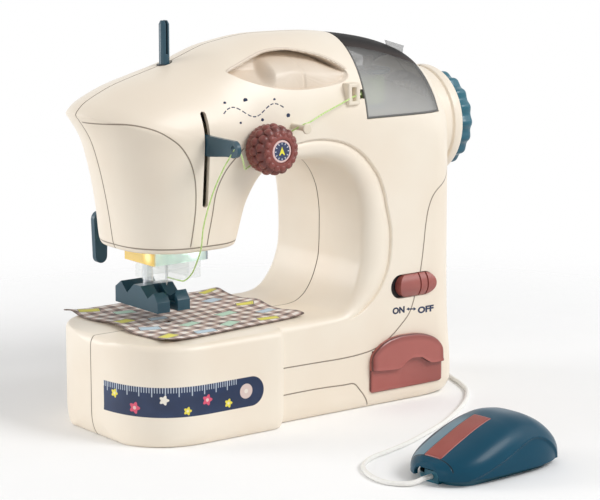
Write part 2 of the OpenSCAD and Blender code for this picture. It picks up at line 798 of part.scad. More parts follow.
// Outline of a gear whose first tooth points at a given angle
function gear_outline(teeth, phase) =
    let (pitch_r = gear_module * teeth / 2, root = pitch_r - 1.1 * gear_module, tip = pitch_r + 0.7 * gear_module)
    [for (i = [0 : teeth - 1], q = [[root, -0.8], [tip, -0.28], [tip, 0.28], [root, 0.8]])
        let (a = phase + 360 * i / teeth + q[1] * gear_module / q[0] * 180 / PI)
        [q[0] * cos(a), q[0] * sin(a)]];

// Shape in the Y Z plane pulled along X
module along_x(x, w) {
    translate([x, 0, 0])
        rotate([90, 0, 90])
            linear_extrude(w)
                children();
}

// Large gear on the main shaft
module drive_gear() {
    color("#e8e2d4")
        along_x(gear_x, gear_w)
            translate([0, shaft_z])
                difference() {
                    polygon(gear_outline(gear_teeth, motor_turn));
                    circle(r = shaft_r);
                    for (i = [0 : 5])
                        rotate(60 * i)
                            translate([13.5, 0])
                                circle(r = 4.6);
                }
}

// Small gear on the shaft of the motor
module motor_pinion() {
    color("#e8e2d4") {
        along_x(gear_x - 1, pinion_w)
            translate([motor_y, motor_z])
                polygon(gear_outline(pinion_teeth, motor_turn + 180 + 180 / pinion_teeth));
        rod_x(motor_y, motor_z, gear_x - 12, gear_x, motor_shaft_r);
    }
}

// Motor can with its nose
module motor() {
    color("#8f9499")
        difference() {
            union() {
                rod_x(motor_y, motor_z, motor_back, gear_x - 4, motor_r);
                rod_x(motor_y, motor_z, gear_x - 5, gear_x - 2, 3);
            }
            rod_x(motor_y, motor_z, gear_x - 14, gear_x, motor_shaft_r + run_fit);
        }
}

// Hand wheel with a waved rim
module handwheel() {
    color("#1f6673")
        along_x(collar_end + 0.6, wheel_w)
            translate([0, shaft_z])
                difference() {
                    polygon([for (a = [0 : 3 : 357])
                        let (r = wheel_r - 0.9 + 0.9 * cos(wheel_waves * a)) [r * cos(a), r * sin(a)]]);
                    circle(r = shaft_r);
                }
}

// Upright bar that carries the needle
module needle_bar() {
    color("#b4b7ba")
        rod_z(needle_x, 0, clamp_z + 3, yoke_top, bar_r);
}

// Block on the needle bar with the slotted plate in front of the crank
module needle_yoke() {
    color("#d8d2c6")
        difference() {
            union() {
                translate([needle_x - 5, -6, yoke_low])
                    cube([9, 12, yoke_top - yoke_low]);
                translate([needle_x + 4 - eps, -6, pin_z - 5])
                    cube([2.2, 12, 10]);
                translate([needle_x + 6, -crank_r - 5, pin_z - 5.2])
                    cube([4, 2 * crank_r + 10, 10.4]);
            }
            rod_z(needle_x, 0, yoke_low - 1, yoke_top + 1, bar_r);
            translate([needle_x + 5.9, -crank_r - 2.4, pin_z - 2.6])
                cube([5, 2 * crank_r + 4.8, 5.2]);
            translate([needle_x - lever_t / 2, -7, lever_low - 1])
                cube([lever_t, 4, lever_high - lever_low + 2]);
        }
}

// Teal lever that stands out of the front slot and pulls the thread
module takeup_lever() {
    color("#1f6673")
        along_x(needle_x - lever_t / 2, lever_t)
            difference() {
                union() {
                    polygon([[-3, lever_low], [-3, lever_high], [-lever_reach + 9, lever_high - 0.4],
                        [-lever_reach + 9, lever_low + 2.2], [-44, lever_low]]);
                    translate([-lever_reach + 5, lever_high - 5])
                        circle(r = 4.6);
                    polygon([[-lever_reach + 10, lever_high - 0.4], [-lever_reach + 5, lever_high - 0.4],
                        [-lever_reach + 5, lever_high - 9.6], [-lever_reach + 10, lever_low + 2]]);
                }
                translate([-lever_reach + 5, lever_high - 4.6])
                    circle(r = 1.7);
            }
}

// Clamp at the lower end of the needle bar
module needle_clamp() {
    color("#c3c6c9")
        difference() {
            union() {
                rod_z(needle_x, 0, clamp_z, clamp_z + 6, 3.4);
                rod_y(needle_x, clamp_z + 3, -4.4, -2, 1.5);
            }
            rod_z(needle_x, 0, clamp_z + 3, clamp_z + 7, bar_r);
            rod_z(needle_x, 0, clamp_z - 1, clamp_z + 4, needle_d / 2);
        }
}

// Needle with an eye and a tapered tip
module needle() {
    color("#d7d9db")
        difference() {
            union() {
                rod_z(needle_x, 0, needle_tip + 3, clamp_z + 3, needle_d / 2);
                translate([needle_x, 0, needle_tip])
                    cylinder(h = 3 + eps, r1 = 0.15, r2 = needle_d / 2);
            }
            rod_y(needle_x, eye_z, -2, 2, 0.3);
        }
}

// Bar with a collar that presses the foot down
module presser_bar() {
    color("#9da1a5") {
        rod_z(needle_x, presser_y, foot_z + 6, spring_top + 9, presser_r);
        rod_z(needle_x, presser_y, collar_z, collar_z + collar_h, presser_r + 3);
    }
}

// Points of a round wire along a path, as rings square to the floor plan of the path
function wire_rings(path, r, n) =
    [for (i = [0 : len(path) - 1])
        let (
            a = path[max(i - 1, 0)],
            b = path[min(i + 1, len(path) - 1)],
            t = (b - a) / norm(b - a),
            flat = norm([t[0], t[1]]),
            s = flat > 0.05 ? [t[1], -t[0], 0] / flat : [1, 0, 0],
            u = cross(s, t)
        )
        [for (k = [0 : n - 1]) path[i] + r * (cos(360 * k / n) * s + sin(360 * k / n) * u)]];

// Coil from one height to another
function coil_path(x, y, z0, z1, r, turns, steps) =
    [for (i = [0 : turns * steps])
        [x + r * cos(360 * i / steps), y + r * sin(360 * i / steps), z0 + (z1 - z0) * i / (turns * steps)]];

// Spring between the collar and the frame
module presser_spring() {
    color("#a9adb2")
        skin(wire_rings(coil_path(needle_x, presser_y, collar_z + collar_h + 0.45, spring_top - 0.45,
            presser_r + 1.3, 5, 12), 0.45, 6));
}

// Teal foot with two toes
module presser_foot() {
    color("#1f6673")
        difference() {
            union() {
                translate([needle_x - foot_w / 2, 36 - foot_l, foot_z])
                    cube([foot_w, foot_l, 4]);
                along_x(needle_x - foot_w / 2, foot_w)
                    polygon([[36 - foot_l, foot_z + 3.9], [36, foot_z + 3.9], [36, foot_z + 9],
                        [30, foot_z + 13], [24, foot_z + 7], [17, foot_z + 13], [10, foot_z + 13],
                        [3, foot_z + 7], [-3, foot_z + 11], [36 - foot_l, foot_z + 6]]);
            }
            translate([needle_x - 2.6, 35 - foot_l, foot_z - 1])
                cube([5.2, 19, 20]);
            rod_z(needle_x, 0, foot_z + 4.2, foot_z + 20, 5.2);
            rod_z(needle_x, presser_y, foot_z + 6, foot_z + 20, presser_r);
        }
}

// Lever behind the head that raises the foot
module lifter_lever() {
    color("#1f6673") {
        rod_y(lifter_x, lifter_z, cam_y, head_half_depth + 4, lifter_r);
        hull() {
            rod_y(lifter_x, lifter_z, head_half_depth + 3.6, head_half_depth + 7, 4.4, $fn = 32);
            rod_y(needle_x - 17, lifter_z + 3, head_half_depth + 3.6, head_half_depth + 7, 4.4, $fn = 32);
        }
        hull() {
            rod_y(needle_x - 17, lifter_z + 3, head_half_depth + 3.6, head_half_depth + 7, 4.6, $fn = 32);
            rod_y(needle_x - 17, 91, head_half_depth + 3.6, head_half_depth + 7, 3.8, $fn = 32);
        }
        hull() {
            rod_y(lifter_x, lifter_z, cam_y, chassis_y - slide_gap, lifter_r, $fn = 32);
            rod_y(lifter_x, lifter_z + 5.6, cam_y, chassis_y - slide_gap, 1.4, $fn = 32);
        }
    }
}

// Clear lamp block under the head
module lamp_block() {
    color("#dfe4e2")
        difference() {
            translate([needle_x - lamp_w / 2, -lamp_d / 2, lamp_low])
                cube([lamp_w, lamp_d, head_bottom + 3 - lamp_low]);
            rod_z(needle_x, 0, lamp_low - 1, head_bottom + 4, 4.6);
            for (s = [-1, 1])
                rod_z(needle_x + s * 10, -s * 5, lamp_low + 1.5, head_bottom + 4, 2.7);
        }
}

// Two small lamps inside the block
module lamps() {
    color("#ffe9a8")
        for (s = [-1, 1]) {
            rod_z(needle_x + s * 10, -s * 5, lamp_low + 4, head_bottom + 3, 2.5);
            translate([needle_x + s * 10, -s * 5, lamp_low + 4.2])
                sphere(r = 2.4);
        }
}

// Clear guard that keeps fingers off the needle
module needle_guard() {
    color("#e6eae8")
        difference() {
            translate([needle_x - lamp_w / 2, -lamp_d / 2, guard_low])
                cube([lamp_w, lamp_d - 3, lamp_low - guard_low]);
            translate([needle_x - 8, -lamp_d / 2 + 2, guard_low - 1])
                cube([16, lamp_d - 7, lamp_low - guard_low + 2]);
        }
}

// Stud that the tension knob turns on
module tension_stud() {
    color("#b4b7ba") {
        rod_y(knob_x, knob_z, -arm_half_depth - 16, -arm_half_depth + 4, 2.5);
        rod_y(knob_x, knob_z, -arm_half_depth - 0.4, -arm_half_depth + 0.6, 8);
    }
}

// One ring of round bumps
module bump_tier(y0, y1, r, count, bump, shift) {
    rod_y(knob_x, knob_z, y0, y1, r - bump * 0.55, $fn = 64);
    for (i = [0 : count - 1])
        rod_y(knob_x + (r - bump) * cos(360 * i / count + shift), knob_z + (r - bump) * sin(360 * i / count + shift),
            y0, y1, bump, $fn = 24);
}

// Tension knob with two rows of bumps
module tension_knob() {
    color("#7c3b35")
        difference() {
            union() {
                bump_tier(-arm_half_depth - 9.5, -arm_half_depth - 1.2, knob_r, 18, 2.3, 0);
                bump_tier(-arm_half_depth - 18, -arm_half_depth - 9.4, knob_r - 1.8, 18, 2.1, 10);
            }
            rod_y(knob_x, knob_z, -arm_half_depth - 16.5, -arm_half_depth, 2.5 + run_fit);
            rod_y(knob_x, knob_z, -arm_half_depth - 19, -arm_half_depth - 17, knob_r - 5.2);
        }
}

// Plain face disc of the knob
module knob_face() {
    color("#25304f")
        rod_y(knob_x, knob_z, -arm_half_depth - 18.4, -arm_half_depth - 17, knob_r - 5.4);
}

// Pin that guides the thread above the knob
module thread_peg() {
    color("#eee2cf") {
        rod_y(-2, 168.5, -arm_half_depth - 12, -arm_half_depth + 3, 1.7);
        rod_y(-2, 168.5, -arm_half_depth - 13.4, -arm_half_depth - 12, 3);
    }
}

// Loop that guides the thread beside the cover
module thread_guide() {
    color("#eee2cf")
        difference() {
            translate([guide_x - 4.2, -arm_half_depth - 0.8, guide_z - 6.2])
                cube([8.4, 8, 12.4]);
            translate([guide_x - 1.6, -arm_half_depth - 2, guide_z - 4])
                cube([3.2, 6.4, 8]);
        }
}

// Teal pin that slides up out of the head for a second reel
module spool_pin() {
    color("#1f6673")
        difference() {
            union() {
                rod_z(needle_x, 0, 197, pin_top - 2, 2.9);
                translate([needle_x, 0, pin_top - 2])
                    cylinder(h = 2, r1 = 2.9, r2 = 1.9);
                rod_z(needle_x, 0, 195.6, 197.4, 4);
            }
            translate([needle_x - 0.6, -5, arm_top - 8])
                cube([1.2, 10, 40]);
        }
}

// Sleeve that guides the pin
module pin_sleeve() {
    color("#2b2a2a")
        difference() {
            union() {
                rod_z(needle_x, 0, 198, arm_top - 13.5, 4.3);
                rod_z(needle_x, 0, 198, 199.4, 5.6);
            }
            rod_z(needle_x, 0, 190, arm_top, 2.9 + run_fit);
        }
}

// Floor of the spool room with the capped post of the spool
module spool_tray() {
    color("#d9cdb9") {
        translate([lid_left - 1, -37, tray_z])
            cube([lid_right - lid_left + 2, 70, tray_t]);
        for (x = [lid_left + 6, lid_right - 14])
            translate([x, -41, tray_z])
                cube([8, 80, tray_t]);
        rod_z(spool_x, 0, tray_z, 193, post_r);
        rod_z(spool_x, 0, 192.4, 198, post_r + 0.8);
    }
}

// Teal spool
module thread_spool() {
    color("#2a7f8a")
        difference() {
            union() {
                rod_z(spool_x, 0, tray_z + tray_t + slide_gap, tray_z + tray_t + 3, spool_r - 2);
                rod_z(spool_x, 0, 188.4, 191, spool_r);
                rod_z(spool_x, 0, tray_z + tray_t + 1, 190, 4.5);
            }
            rod_z(spool_x, 0, tray_z, 195, post_r + run_fit);
        }
}

// Thread wound on the spool
module spool_thread() {
    color("#b6d36a")
        difference() {
            union() {
                rod_z(spool_x, 0, tray_z + tray_t + 3, 188.4, spool_r - 4);
                translate([spool_x, 0, 178])
                    scale([1, 1, 1.4])
                        sphere(r = spool_r - 3.6);
            }
            rod_z(spool_x, 0, tray_z, 195, 4.5);
            rod_z(spool_x, 0, tray_z - 10, tray_z + tray_t + 3, spool_r + 5);
            rod_z(spool_x, 0, 188.4, 210, spool_r + 5);
        }
}

// Smoke cover over the spool, on a rear hinge
module spool_cover() {
    color("#8b8d90")
        difference() {
            union() {
                intersection() {
                    difference() {
                        body_outer();
                        body_outer(lid_wall);
                    }
                    union() {
                        translate([lid_left + slide_gap, -far, lid_low + slide_gap])
                            cube([lid_right - lid_left - 2 * slide_gap, far, far]);
                        translate([lid_left + slide_gap, -eps, lid_rear_low + slide_gap])
                            cube([lid_right - lid_left - 2 * slide_gap, far, far]);
                    }
                }
                for (x = arm_places)
                    hull() {
                        rod_x(hinge_y, hinge_z, x, x + arm_w, hinge_r, $fn = 24);
                        translate([x, hinge_y - 17, hinge_z + 6])
                            cube([arm_w, 10, 2.5]);
                    }
                for (x = [-5, -2.5, 0, 2.5])
                    hull() {
                        translate([(lid_left + lid_right) / 2 + 4 + x, -12, arm_top - 9])
                            cube([2.6, 1.6, 1]);
                        translate([(lid_left + lid_right) / 2 + 4 + x, -11.4, arm_top - 16])
                            cube([2.6, 1.4, 1]);
                    }
            }
            rod_x(hinge_y, hinge_z, lid_left, lid_right, 1.2 + run_fit, $fn = 24);
        }
}

// Pins of the cover hinge
module lid_pins() {
    color("#a9adb2")
        for (x = [lid_left + 3, lid_right - 17])
            rod_x(hinge_y, hinge_z, x, x + 14, 1.2);
}

// Dark plate behind the switch slider
module switch_plate() {
    color("#3a3634")
        difference() {
            translate([switch_x - switch_len / 2 - 3, front_y + shell_wall, switch_z - switch_h / 2 - 3])
                cube([switch_len + 6, 1.4, switch_h + 6]);
            translate([switch_x - 11.2, front_y + 1, switch_z - 2.2])
                cube([22.4, 5, 4.4]);
        }
}

// Barrel-shaped slider of the switch, with two ring grooves
module switch_slider() {
    color("#7c3b35")
        difference() {
            union() {
                intersection() {
                    union() {
                        for (x = [slider_end - slider_w + slider_h / 2, slider_end - slider_h / 2])
                            rod_y(x, switch_z, front_y - 5, front_y + shell_wall - slide_gap, slider_h / 2);
                        translate([slider_end - slider_w + slider_h / 2, front_y - 5, switch_z - slider_h / 2])
                            cube([slider_w - slider_h, 5 + shell_wall - slide_gap, slider_h]);
                    }
                    rod_x(barrel_y, switch_z, slider_end - slider_w - 1, slider_end + 1, barrel_r);
                }
                translate([switch_x + 3.5, front_y + 1.5, switch_z - 1.8])
                    cube([4, 6.5, 3.6]);
            }
            for (x = [slider_end - 12.4, slider_end - 7])
                difference() {
                    rod_x(barrel_y, switch_z, x, x + 1, barrel_r + 1);
                    rod_x(barrel_y, switch_z, x - 1, x + 2, barrel_r - 0.9);
                }
        }
}

// Housing of the switch contacts
module switch_body() {
    color("#2b2a2a")
        difference() {
            translate([switch_x - 13, front_y + shell_wall + 1.4, switch_z - 5])
                cube([26, 9, 10]);
            translate([switch_x - 11.4, front_y + 1, switch_z - 2.4])
                cube([22.8, 9.2, 4.8]);
        }
}

// Sleeve that the drawer runs in
module drawer_sleeve() {
    color("#d9cdb9")
        difference() {
            translate([drawer_left + 2.6 - sleeve_wall, front_y + shell_wall + 3.5, plate_t])
                cube([drawer_right - drawer_left - 5.2 + 2 * sleeve_wall, drawer_depth + 2,
                    drawer_high - plate_t - 5]);
            translate([drawer_left + 2.6, front_y, drawer_low - 0.6])
                cube([drawer_right - drawer_left - 5.2, drawer_depth + 4, drawer_high - drawer_low - 6]);
        }
}

// Red-brown drawer with an arched front
module drawer() {
    color("#8a4238") {
        difference() {
            translate([drawer_left + 3, drawer_front_y + 2, drawer_low - 0.2])
                cube([drawer_right - drawer_left - 6, drawer_depth, drawer_high - drawer_low - 7]);
            translate([drawer_left + 3 + drawer_wall, drawer_front_y + 1, drawer_low + drawer_wall])
                cube([drawer_right - drawer_left - 6 - 2 * drawer_wall, drawer_depth + 1 - drawer_wall, 40]);
        }
        translate([0, drawer_front_y + 3, 0])
            rotate([90, 0, 0]) {
                linear_extrude(1.6)
                    drawer_face(0);
                linear_extrude(3)
                    drawer_face(12);
            }
    }
}

// Front of the drawer above a given height, with a finger hump in its lower edge
module drawer_face(low) {
    width = drawer_right - drawer_left;
    hump = min(low, 4);
    polygon(concat(
        [for (i = [0 : 24]) [drawer_left + width * i / 24,
            drawer_low - 1 + low + hump * pow(sin(180 * min(1, max(0, i / 13 - 0.62))), 2)]],
        [for (i = [12 : -1 : 0]) [drawer_left + width * i / 12, drawer_high - 4 + 4 * sin(180 * i / 12)]]));
}

// Heights of the pedal along its length, from the nose
function pedal_top(t) = pedal_h * (0.42 + 0.58 * pow(sin(180 * min(1, 0.08 + 0.86 * t)), 1.15) - 0.3 * pow(t, 5));

// Half width of the pedal along its length
function pedal_half(t) = pedal_w / 2 * pow(1 - pow(abs(2 * t - 1), 3.4), 0.42) * (0.9 + 0.1 * t);

// Ring of the pedal cover at a place along it
function pedal_ring(t, inset, low) =
    let (
        half = max(pedal_half(t) - inset, 0.8),
        top = pedal_top(t) - inset,
        x = (t - 0.5) * (pedal_len - 2 * inset)
    )
    concat(
        [[x, -half, low]],
        [for (k = [0 : 10]) let (a = 180 * k / 10)
            [x, -half * pow(abs(cos(a)), 0.7) * sign(cos(a)), low + 1 + (top - low - 1) * pow(sin(a), 0.75)]],
        [[x, half, low]]);

pedal_steps = [0.012, 0.04, 0.09, 0.16, 0.25, 0.35, 0.45, 0.55, 0.65, 0.75, 0.84, 0.91, 0.96, 0.988];

// Places a piece of the pedal
module at_pedal() {
    translate([pedal_x, pedal_y, 0])
        rotate([0, 0, pedal_turn])
            children();
}

// Teal cover that is pressed down with the foot
module pedal_cover() {
    color("#17536a")
        at_pedal()
            difference() {
                skin([for (t = pedal_steps) pedal_ring(t, 0, 3.4)]);
                skin([for (t = pedal_steps) pedal_ring(t, 2, 2)]);
                for (y = [-6, -3, 0, 3, 6])
                    hull() {
                        translate([-pedal_len / 2 - 3, y - 2, 1])
                            cube([10, 4, 4]);
                        translate([-pedal_len / 2 - 3, y - 1.5, 8])
                            cube([10, 3, 1]);
                    }
                for (x = [-10, 0, 10])
                    hull() {
                        translate([x - 2, -pedal_w / 2 - 2, 2])
                            cube([4, 2.6, 1.5]);
                        translate([x - 2, -pedal_w / 2 - 2, 3.3])
                            cube([4, 2.4, 0.4]);
                    }
            }
}

// Red-brown strip along the top of the pedal
module pedal_strip() {
    color("#a34a40")
        at_pedal()
            intersection() {
                difference() {
                    skin([for (t = pedal_steps) pedal_ring(t, -0.5, 3.4)]);
                    skin([for (t = pedal_steps) pedal_ring(t, 0, 3)]);
                }
                hull() {
                    translate([-34, -5.5, 14])
                        cube([36, 11, 30]);
                    translate([-36, -4.5, 14])
                        cube([38, 9, 30]);
                }
            }
}

// Flat base of the pedal with the sleeves for the guide pins
module pedal_base() {
    color("#2a4a57")
        at_pedal()
            difference() {
                union() {
                    linear_extrude(3)
                            round_plate(-pedal_len / 2 + 8, pedal_len / 2 - 9, pedal_w / 2 - 8.5, 12);
                    for (x = [-24, 24])
                        rod_z(x, 0, 2.9, 12, 4.5);
                    rod_z(0, 0, 2.9, 4.5, 6.5);
                    translate([-pedal_len / 2 + 5, -5, 0])
                        cube([9, 10, 6.4]);
                }
                for (x = [-24, 24])
                    rod_z(x, 0, 3.4, 13, 2.5 + run_fit);
                rod_x(0, 3.4, -pedal_len / 2, -pedal_len / 2 + 16, cord_d / 2);
            }
}

// Pins and spring seat fixed under the cover
module pedal_guides() {
    color("#1b4354")
        at_pedal() {
            for (x = [-24, 24])
                rod_z(x, 0, 7, pedal_top(0.5 + x / pedal_len) - 2, 2.5);
            rod_z(0, 0, 12.5, pedal_h - 1.8, 6);
        }
}

// Return spring of the pedal
module pedal_spring() {
    color("#a9adb2")
        at_pedal()
            skin(wire_rings(coil_path(0, 0, 5, 12, 4.2, 4, 12), 0.5, 6));
}

// Contact block of the pedal
module pedal_switch() {
    color("#2b2a2a")
        at_pedal() {
            translate([9, -6, 3])
                cube([9, 12, 6]);
            rod_z(13.5, 0, 8.9, 10, 2);
        }
}

// Route of the cord over the table, from the pedal to the machine
cord_route = [[-17, -183.2, 3.4], [-25, -183.8, 3.2], [-31, -183.6, 2.2], [-36, -181, 1.6], [-41, -173, 1.4], [-41, -162, 1.4],
    [-37, -150, 1.4], [-30, -140, 1.4], [-18, -132, 1.4], [-2, -127, 1.4], [16, -121, 1.4], [36, -112, 1.4],
    [58, -101, 1.4], [80, -87, 1.4], [102, -70, 1.4], [118, -53, 1.4], [127, -36, 1.4], [133, -20, 1.4],
    [139, -6, 2.4], [144, 5, 6], [144, 12, 10.4], [140, jack_y, jack_z], [134, jack_y, jack_z]];

// White cord between the pedal and the machine
module cord() {
    color("#f0efeb")
        skin(wire_rings(finer(cord_route, 2), cord_d / 2, 8));
}

// Plug of the cord in the right end of the machine
module cord_plug() {
    color("#efece4")
        difference() {
            union() {
                rod_x(jack_y, jack_z, column_right + 1, 134, 4);
                rod_x(jack_y, jack_z, column_right - 6, column_right + 1.2, 1.75);
            }
            rod_x(jack_y, jack_z, 133, 135, cord_d / 2);
        }
}

// Cloth sample on the bed, hanging a little over the rear edge
cloth_cells = 12;
cloth_left = -90;
cloth_front = -43;
cloth_len = 106;
function cloth_height(x, y) =
    bed_height + 0.12 + 0.35 * (1 + sin(9 * y + 40)) * pow(max(0, (y - 36) / 30), 2)
        - 0.012 * pow(max(0, y - base_half_depth + 3), 2);
function cloth_point(i, k, lift) =
    let (
        x = cloth_left + cloth_w * i / cloth_cells + 1.2 * sin(70 * k),
        y = cloth_front + cloth_len * k / cloth_cells + 0.1 * cloth_w * i / cloth_cells * (1 - k / cloth_cells)
    )
    [x, y, cloth_height(x, y) + lift];
cloth_rings = [for (i = [0 : cloth_cells])
    concat([for (k = [0 : cloth_cells]) cloth_point(i, k, cloth_t)],
        [for (k = [cloth_cells : -1 : 0]) cloth_point(i, k, 0)])];

module cloth() {
    color("#caa79b")
        difference() {
            skin(cloth_rings);
            rod_z(needle_x, 0, bed_height - 2, bed_height + 6, 2.2);
        }
}

// Thread from the spool to the tension knob
thread_fixed_route = [[74.2, -3, 181], [62, -22, 181.4], [51.4, -thread_y + 7.4, 182],
    [46, -thread_y + 0.6, 182.4], [41, -thread_y + 0.2, 181.6], [30, -thread_y - 2, 178.6],
    [16, -thread_y - 5, 175], [4, -thread_y - 8, 171.4], [-1, -thread_y - 9, 170.6], [-5, -thread_y - 5, 167.4],
    [-7.4, -thread_y - 1.2, 164.6], [-10, -arm_half_depth - 0.6, 162], [-17, -arm_half_depth - 0.6, 158.5]];
module thread_fixed() {
    color("#9ccc3c")
        skin(wire_rings(finer(thread_fixed_route, 2), thread_r, 6));
}

// Thread between the knob and the lever
thread_slack_route = [[-29, -arm_half_depth - 0.6, 151], [-34.6, -arm_half_depth - 0.8, 148], [-37.6, -thread_y - 3.4, 148.4],
    [-43, -thread_y - 10, 151.6], [-51, -thread_y - 19, 158.6], [needle_x + 2, -lever_reach + 5, lever_high - 4.8]];
module thread_slack() {
    color("#9ccc3c")
        skin(wire_rings(finer(thread_slack_route, 2), thread_r, 6));
}

// Thread from the lever to the needle eye
thread_needle_route = [[needle_x, -lever_reach + 5, lever_high - 5], [needle_x - 3, -60, 153],
    [needle_x - 4, -51, 138], [needle_x - 5, -44, 120], [needle_x - 4, -40, 107], [needle_x, -30, 97],
    [needle_x + 4, -19, 88], [needle_x + 3, -13.4, 83.4], [needle_x + 2, -9, 83], [needle_x, -1, eye_z]];
module thread_needle() {
    color("#9ccc3c")
        skin(wire_rings(finer(thread_needle_route, 2), thread_r, 6));
}

front_shell();
rear_shell();
base_plate();
base_screws();
shell_screws();
battery_box();
battery_cells();
battery_contacts();
battery_door();
needle_plate();
chassis();
chassis_screws();
shaft_bushes();
main_shaft();
crank_disc();
drive_gear();
motor_pinion();
motor();
handwheel();
needle_bar();
needle_yoke();
takeup_lever();
needle_clamp();
needle();
presser_bar();
presser_spring();
presser_foot();
lifter_lever();
lamp_block();
lamps();
needle_guard();
tension_stud();
tension_knob();
knob_face();
thread_peg();
thread_guide();
spool_pin();
pin_sleeve();
spool_tray();
thread_spool();
spool_thread();
spool_cover();
lid_pins();
switch_plate();
switch_slider();
switch_body();
drawer_sleeve();
drawer();
pedal_cover();
pedal_strip();
pedal_base();
pedal_guides();
pedal_spring();
pedal_switch();
cord();
cord_plug();
cloth();
thread_fixed();
thread_slack();
thread_needle();
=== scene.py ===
import bpy
import bmesh
import math
import numpy as np
from mathutils import Matrix


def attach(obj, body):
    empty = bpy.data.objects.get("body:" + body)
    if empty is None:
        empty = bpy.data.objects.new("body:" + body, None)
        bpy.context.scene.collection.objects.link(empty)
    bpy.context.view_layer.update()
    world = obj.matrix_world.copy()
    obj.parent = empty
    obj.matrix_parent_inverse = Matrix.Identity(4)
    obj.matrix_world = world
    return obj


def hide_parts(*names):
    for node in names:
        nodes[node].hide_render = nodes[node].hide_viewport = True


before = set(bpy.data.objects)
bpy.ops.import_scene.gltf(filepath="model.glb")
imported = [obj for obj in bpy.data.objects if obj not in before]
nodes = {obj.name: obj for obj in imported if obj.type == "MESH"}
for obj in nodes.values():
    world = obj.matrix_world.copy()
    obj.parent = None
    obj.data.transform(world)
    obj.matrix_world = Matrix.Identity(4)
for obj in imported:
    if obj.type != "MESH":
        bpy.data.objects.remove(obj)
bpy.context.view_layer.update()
mm = 0.001
print("frame loaded:", len(nodes), "nodes")


# mesh helpers, all sizes in millimetres
def fillMesh(name, points, faceSets):  # faceSets: arrays of corner numbers, one array for each corner count
    mesh = bpy.data.meshes.new(name)
    corners = np.concatenate([f.ravel() for f in faceSets]).astype(np.int32)
    counts = np.concatenate([np.full(len(f), f.shape[1]) for f in faceSets])
    mesh.vertices.add(len(points))
    mesh.vertices.foreach_set("co", (np.asarray(points) * mm).astype(np.float32).ravel())
    mesh.loops.add(len(corners))
    mesh.loops.foreach_set("vertex_index", corners)
    mesh.polygons.add(len(counts))
    mesh.polygons.foreach_set("loop_start", (np.cumsum(counts) - counts).astype(np.int32))
    mesh.update(calc_edges=True)
    mesh.validate()
    return mesh


def resharpen(piece, angle=32):  # smooth faces, with edges sharper than the angle kept crisp
    mesh = piece.data
    mesh.polygons.foreach_set("use_smooth", np.ones(len(mesh.polygons), dtype=bool))
    mesh.set_sharp_from_angle(angle=math.radians(angle))
    return piece


def newPiece(name, mesh, angle=32):
    piece = bpy.data.objects.new(name, mesh)
    bpy.context.scene.collection.objects.link(piece)
    return resharpen(piece, angle)


def gridFaces(rows, cols, wrap):  # quads between neighbouring rows, closed round the columns where wrap is set
    index = np.arange(rows * cols).reshape(rows, cols)
    here = index if wrap else index[:, :-1]
    there = np.roll(index, -1, axis=1) if wrap else index[:, 1:]
    return np.stack([here[:-1], there[:-1], there[1:], here[1:]], axis=-1).reshape(-1, 4)


def outward(points, faceSets):  # faces turned about where the volume, from fans of each face, is negative
    volume = 0.0
    for f in faceSets:
        second, third = points[f[:, 1:-1]], points[f[:, 2:]]
        volume += (points[f[:, :1]] * np.cross(second, third)).sum()
    return [f[:, ::-1] for f in faceSets] if volume < 0 else faceSets


def ringSolid(name, rings, angle=32):  # closed solid: rings joined in turn, with a face over each end
    rings = np.asarray(rings, float)
    rows, cols = rings.shape[:2]
    points = rings.reshape(-1, 3)
    low = np.arange(cols)[::-1][None]
    high = ((rows - 1) * cols + np.arange(cols))[None]
    faceSets = outward(points, [gridFaces(rows, cols, True), low, high])
    return newPiece(name, fillMesh(name, points, faceSets), angle)


def prism(name, outline, axis, low, high):  # flat outline pulled along an axis
    outline = np.asarray(outline, float)
    order = {"x": (2, 0, 1), "y": (0, 2, 1), "z": (0, 1, 2)}[axis]
    rings = []
    for level in (low, high):
        flat = np.column_stack([outline, np.full(len(outline), float(level))])
        rings.append(flat[:, order])
    return ringSolid(name, rings)


def circle(cx, cy, r, count=48):
    turn = np.linspace(0, 2 * math.pi, count, endpoint=False)
    return np.column_stack([cx + r * np.cos(turn), cy + r * np.sin(turn)])


def capsule(x0, y0, x1, y1, r, count=24):  # two half circles joined by straight sides
    heading = math.atan2(y1 - y0, x1 - x0)
    turn = np.linspace(-math.pi / 2, math.pi / 2, count) + heading
    first = np.column_stack([x1 + r * np.cos(turn), y1 + r * np.sin(turn)])
    second = np.column_stack([x0 - r * np.cos(turn), y0 - r * np.sin(turn)])
    return np.vstack([first, second])


def block(x0, x1, y0, y1):
    return np.array([[x0, y0], [x1, y0], [x1, y1], [x0, y1]])


def roundBlock(x0, x1, y0, y1, r, count=8):  # rectangle with quarter-circle corners
    turn = np.linspace(0, math.pi / 2, count)
    arc = np.column_stack([np.cos(turn), np.sin(turn)]) * r
    middle = np.array([[x1 - r, y1 - r], [x0 + r, y1 - r], [x0 + r, y0 + r], [x1 - r, y0 + r]])
    turned = [arc, arc[:, ::-1] * [-1, 1], -arc, arc[:, ::-1] * [1, -1]]
    return np.vstack([m + t for m, t in zip(middle, turned)])


def combine(piece, other, operation):  # boolean with the other solid, which is then removed
    step = piece.modifiers.new("combine", "BOOLEAN")
    step.operation = operation
    step.solver = "MANIFOLD"
    step.object = other
    bpy.context.view_layer.update()
    made = bpy.data.meshes.new_from_object(piece.evaluated_get(bpy.context.evaluated_depsgraph_get()))
    piece.modifiers.clear()
    old, piece.data = piece.data, made
    made.name = piece.name
    bpy.data.meshes.remove(old)
    bpy.data.objects.remove(other)


def vertexRows(piece, key):
    found = np.zeros(len(piece.data.vertices) * 3, np.float32)
    piece.data.vertices.foreach_get(key, found)
    return found.reshape(-1, 3)


def places(piece):  # vertex places in millimetres
    return vertexRows(piece, "co") / mm


def normals(piece):
    return vertexRows(piece, "normal")


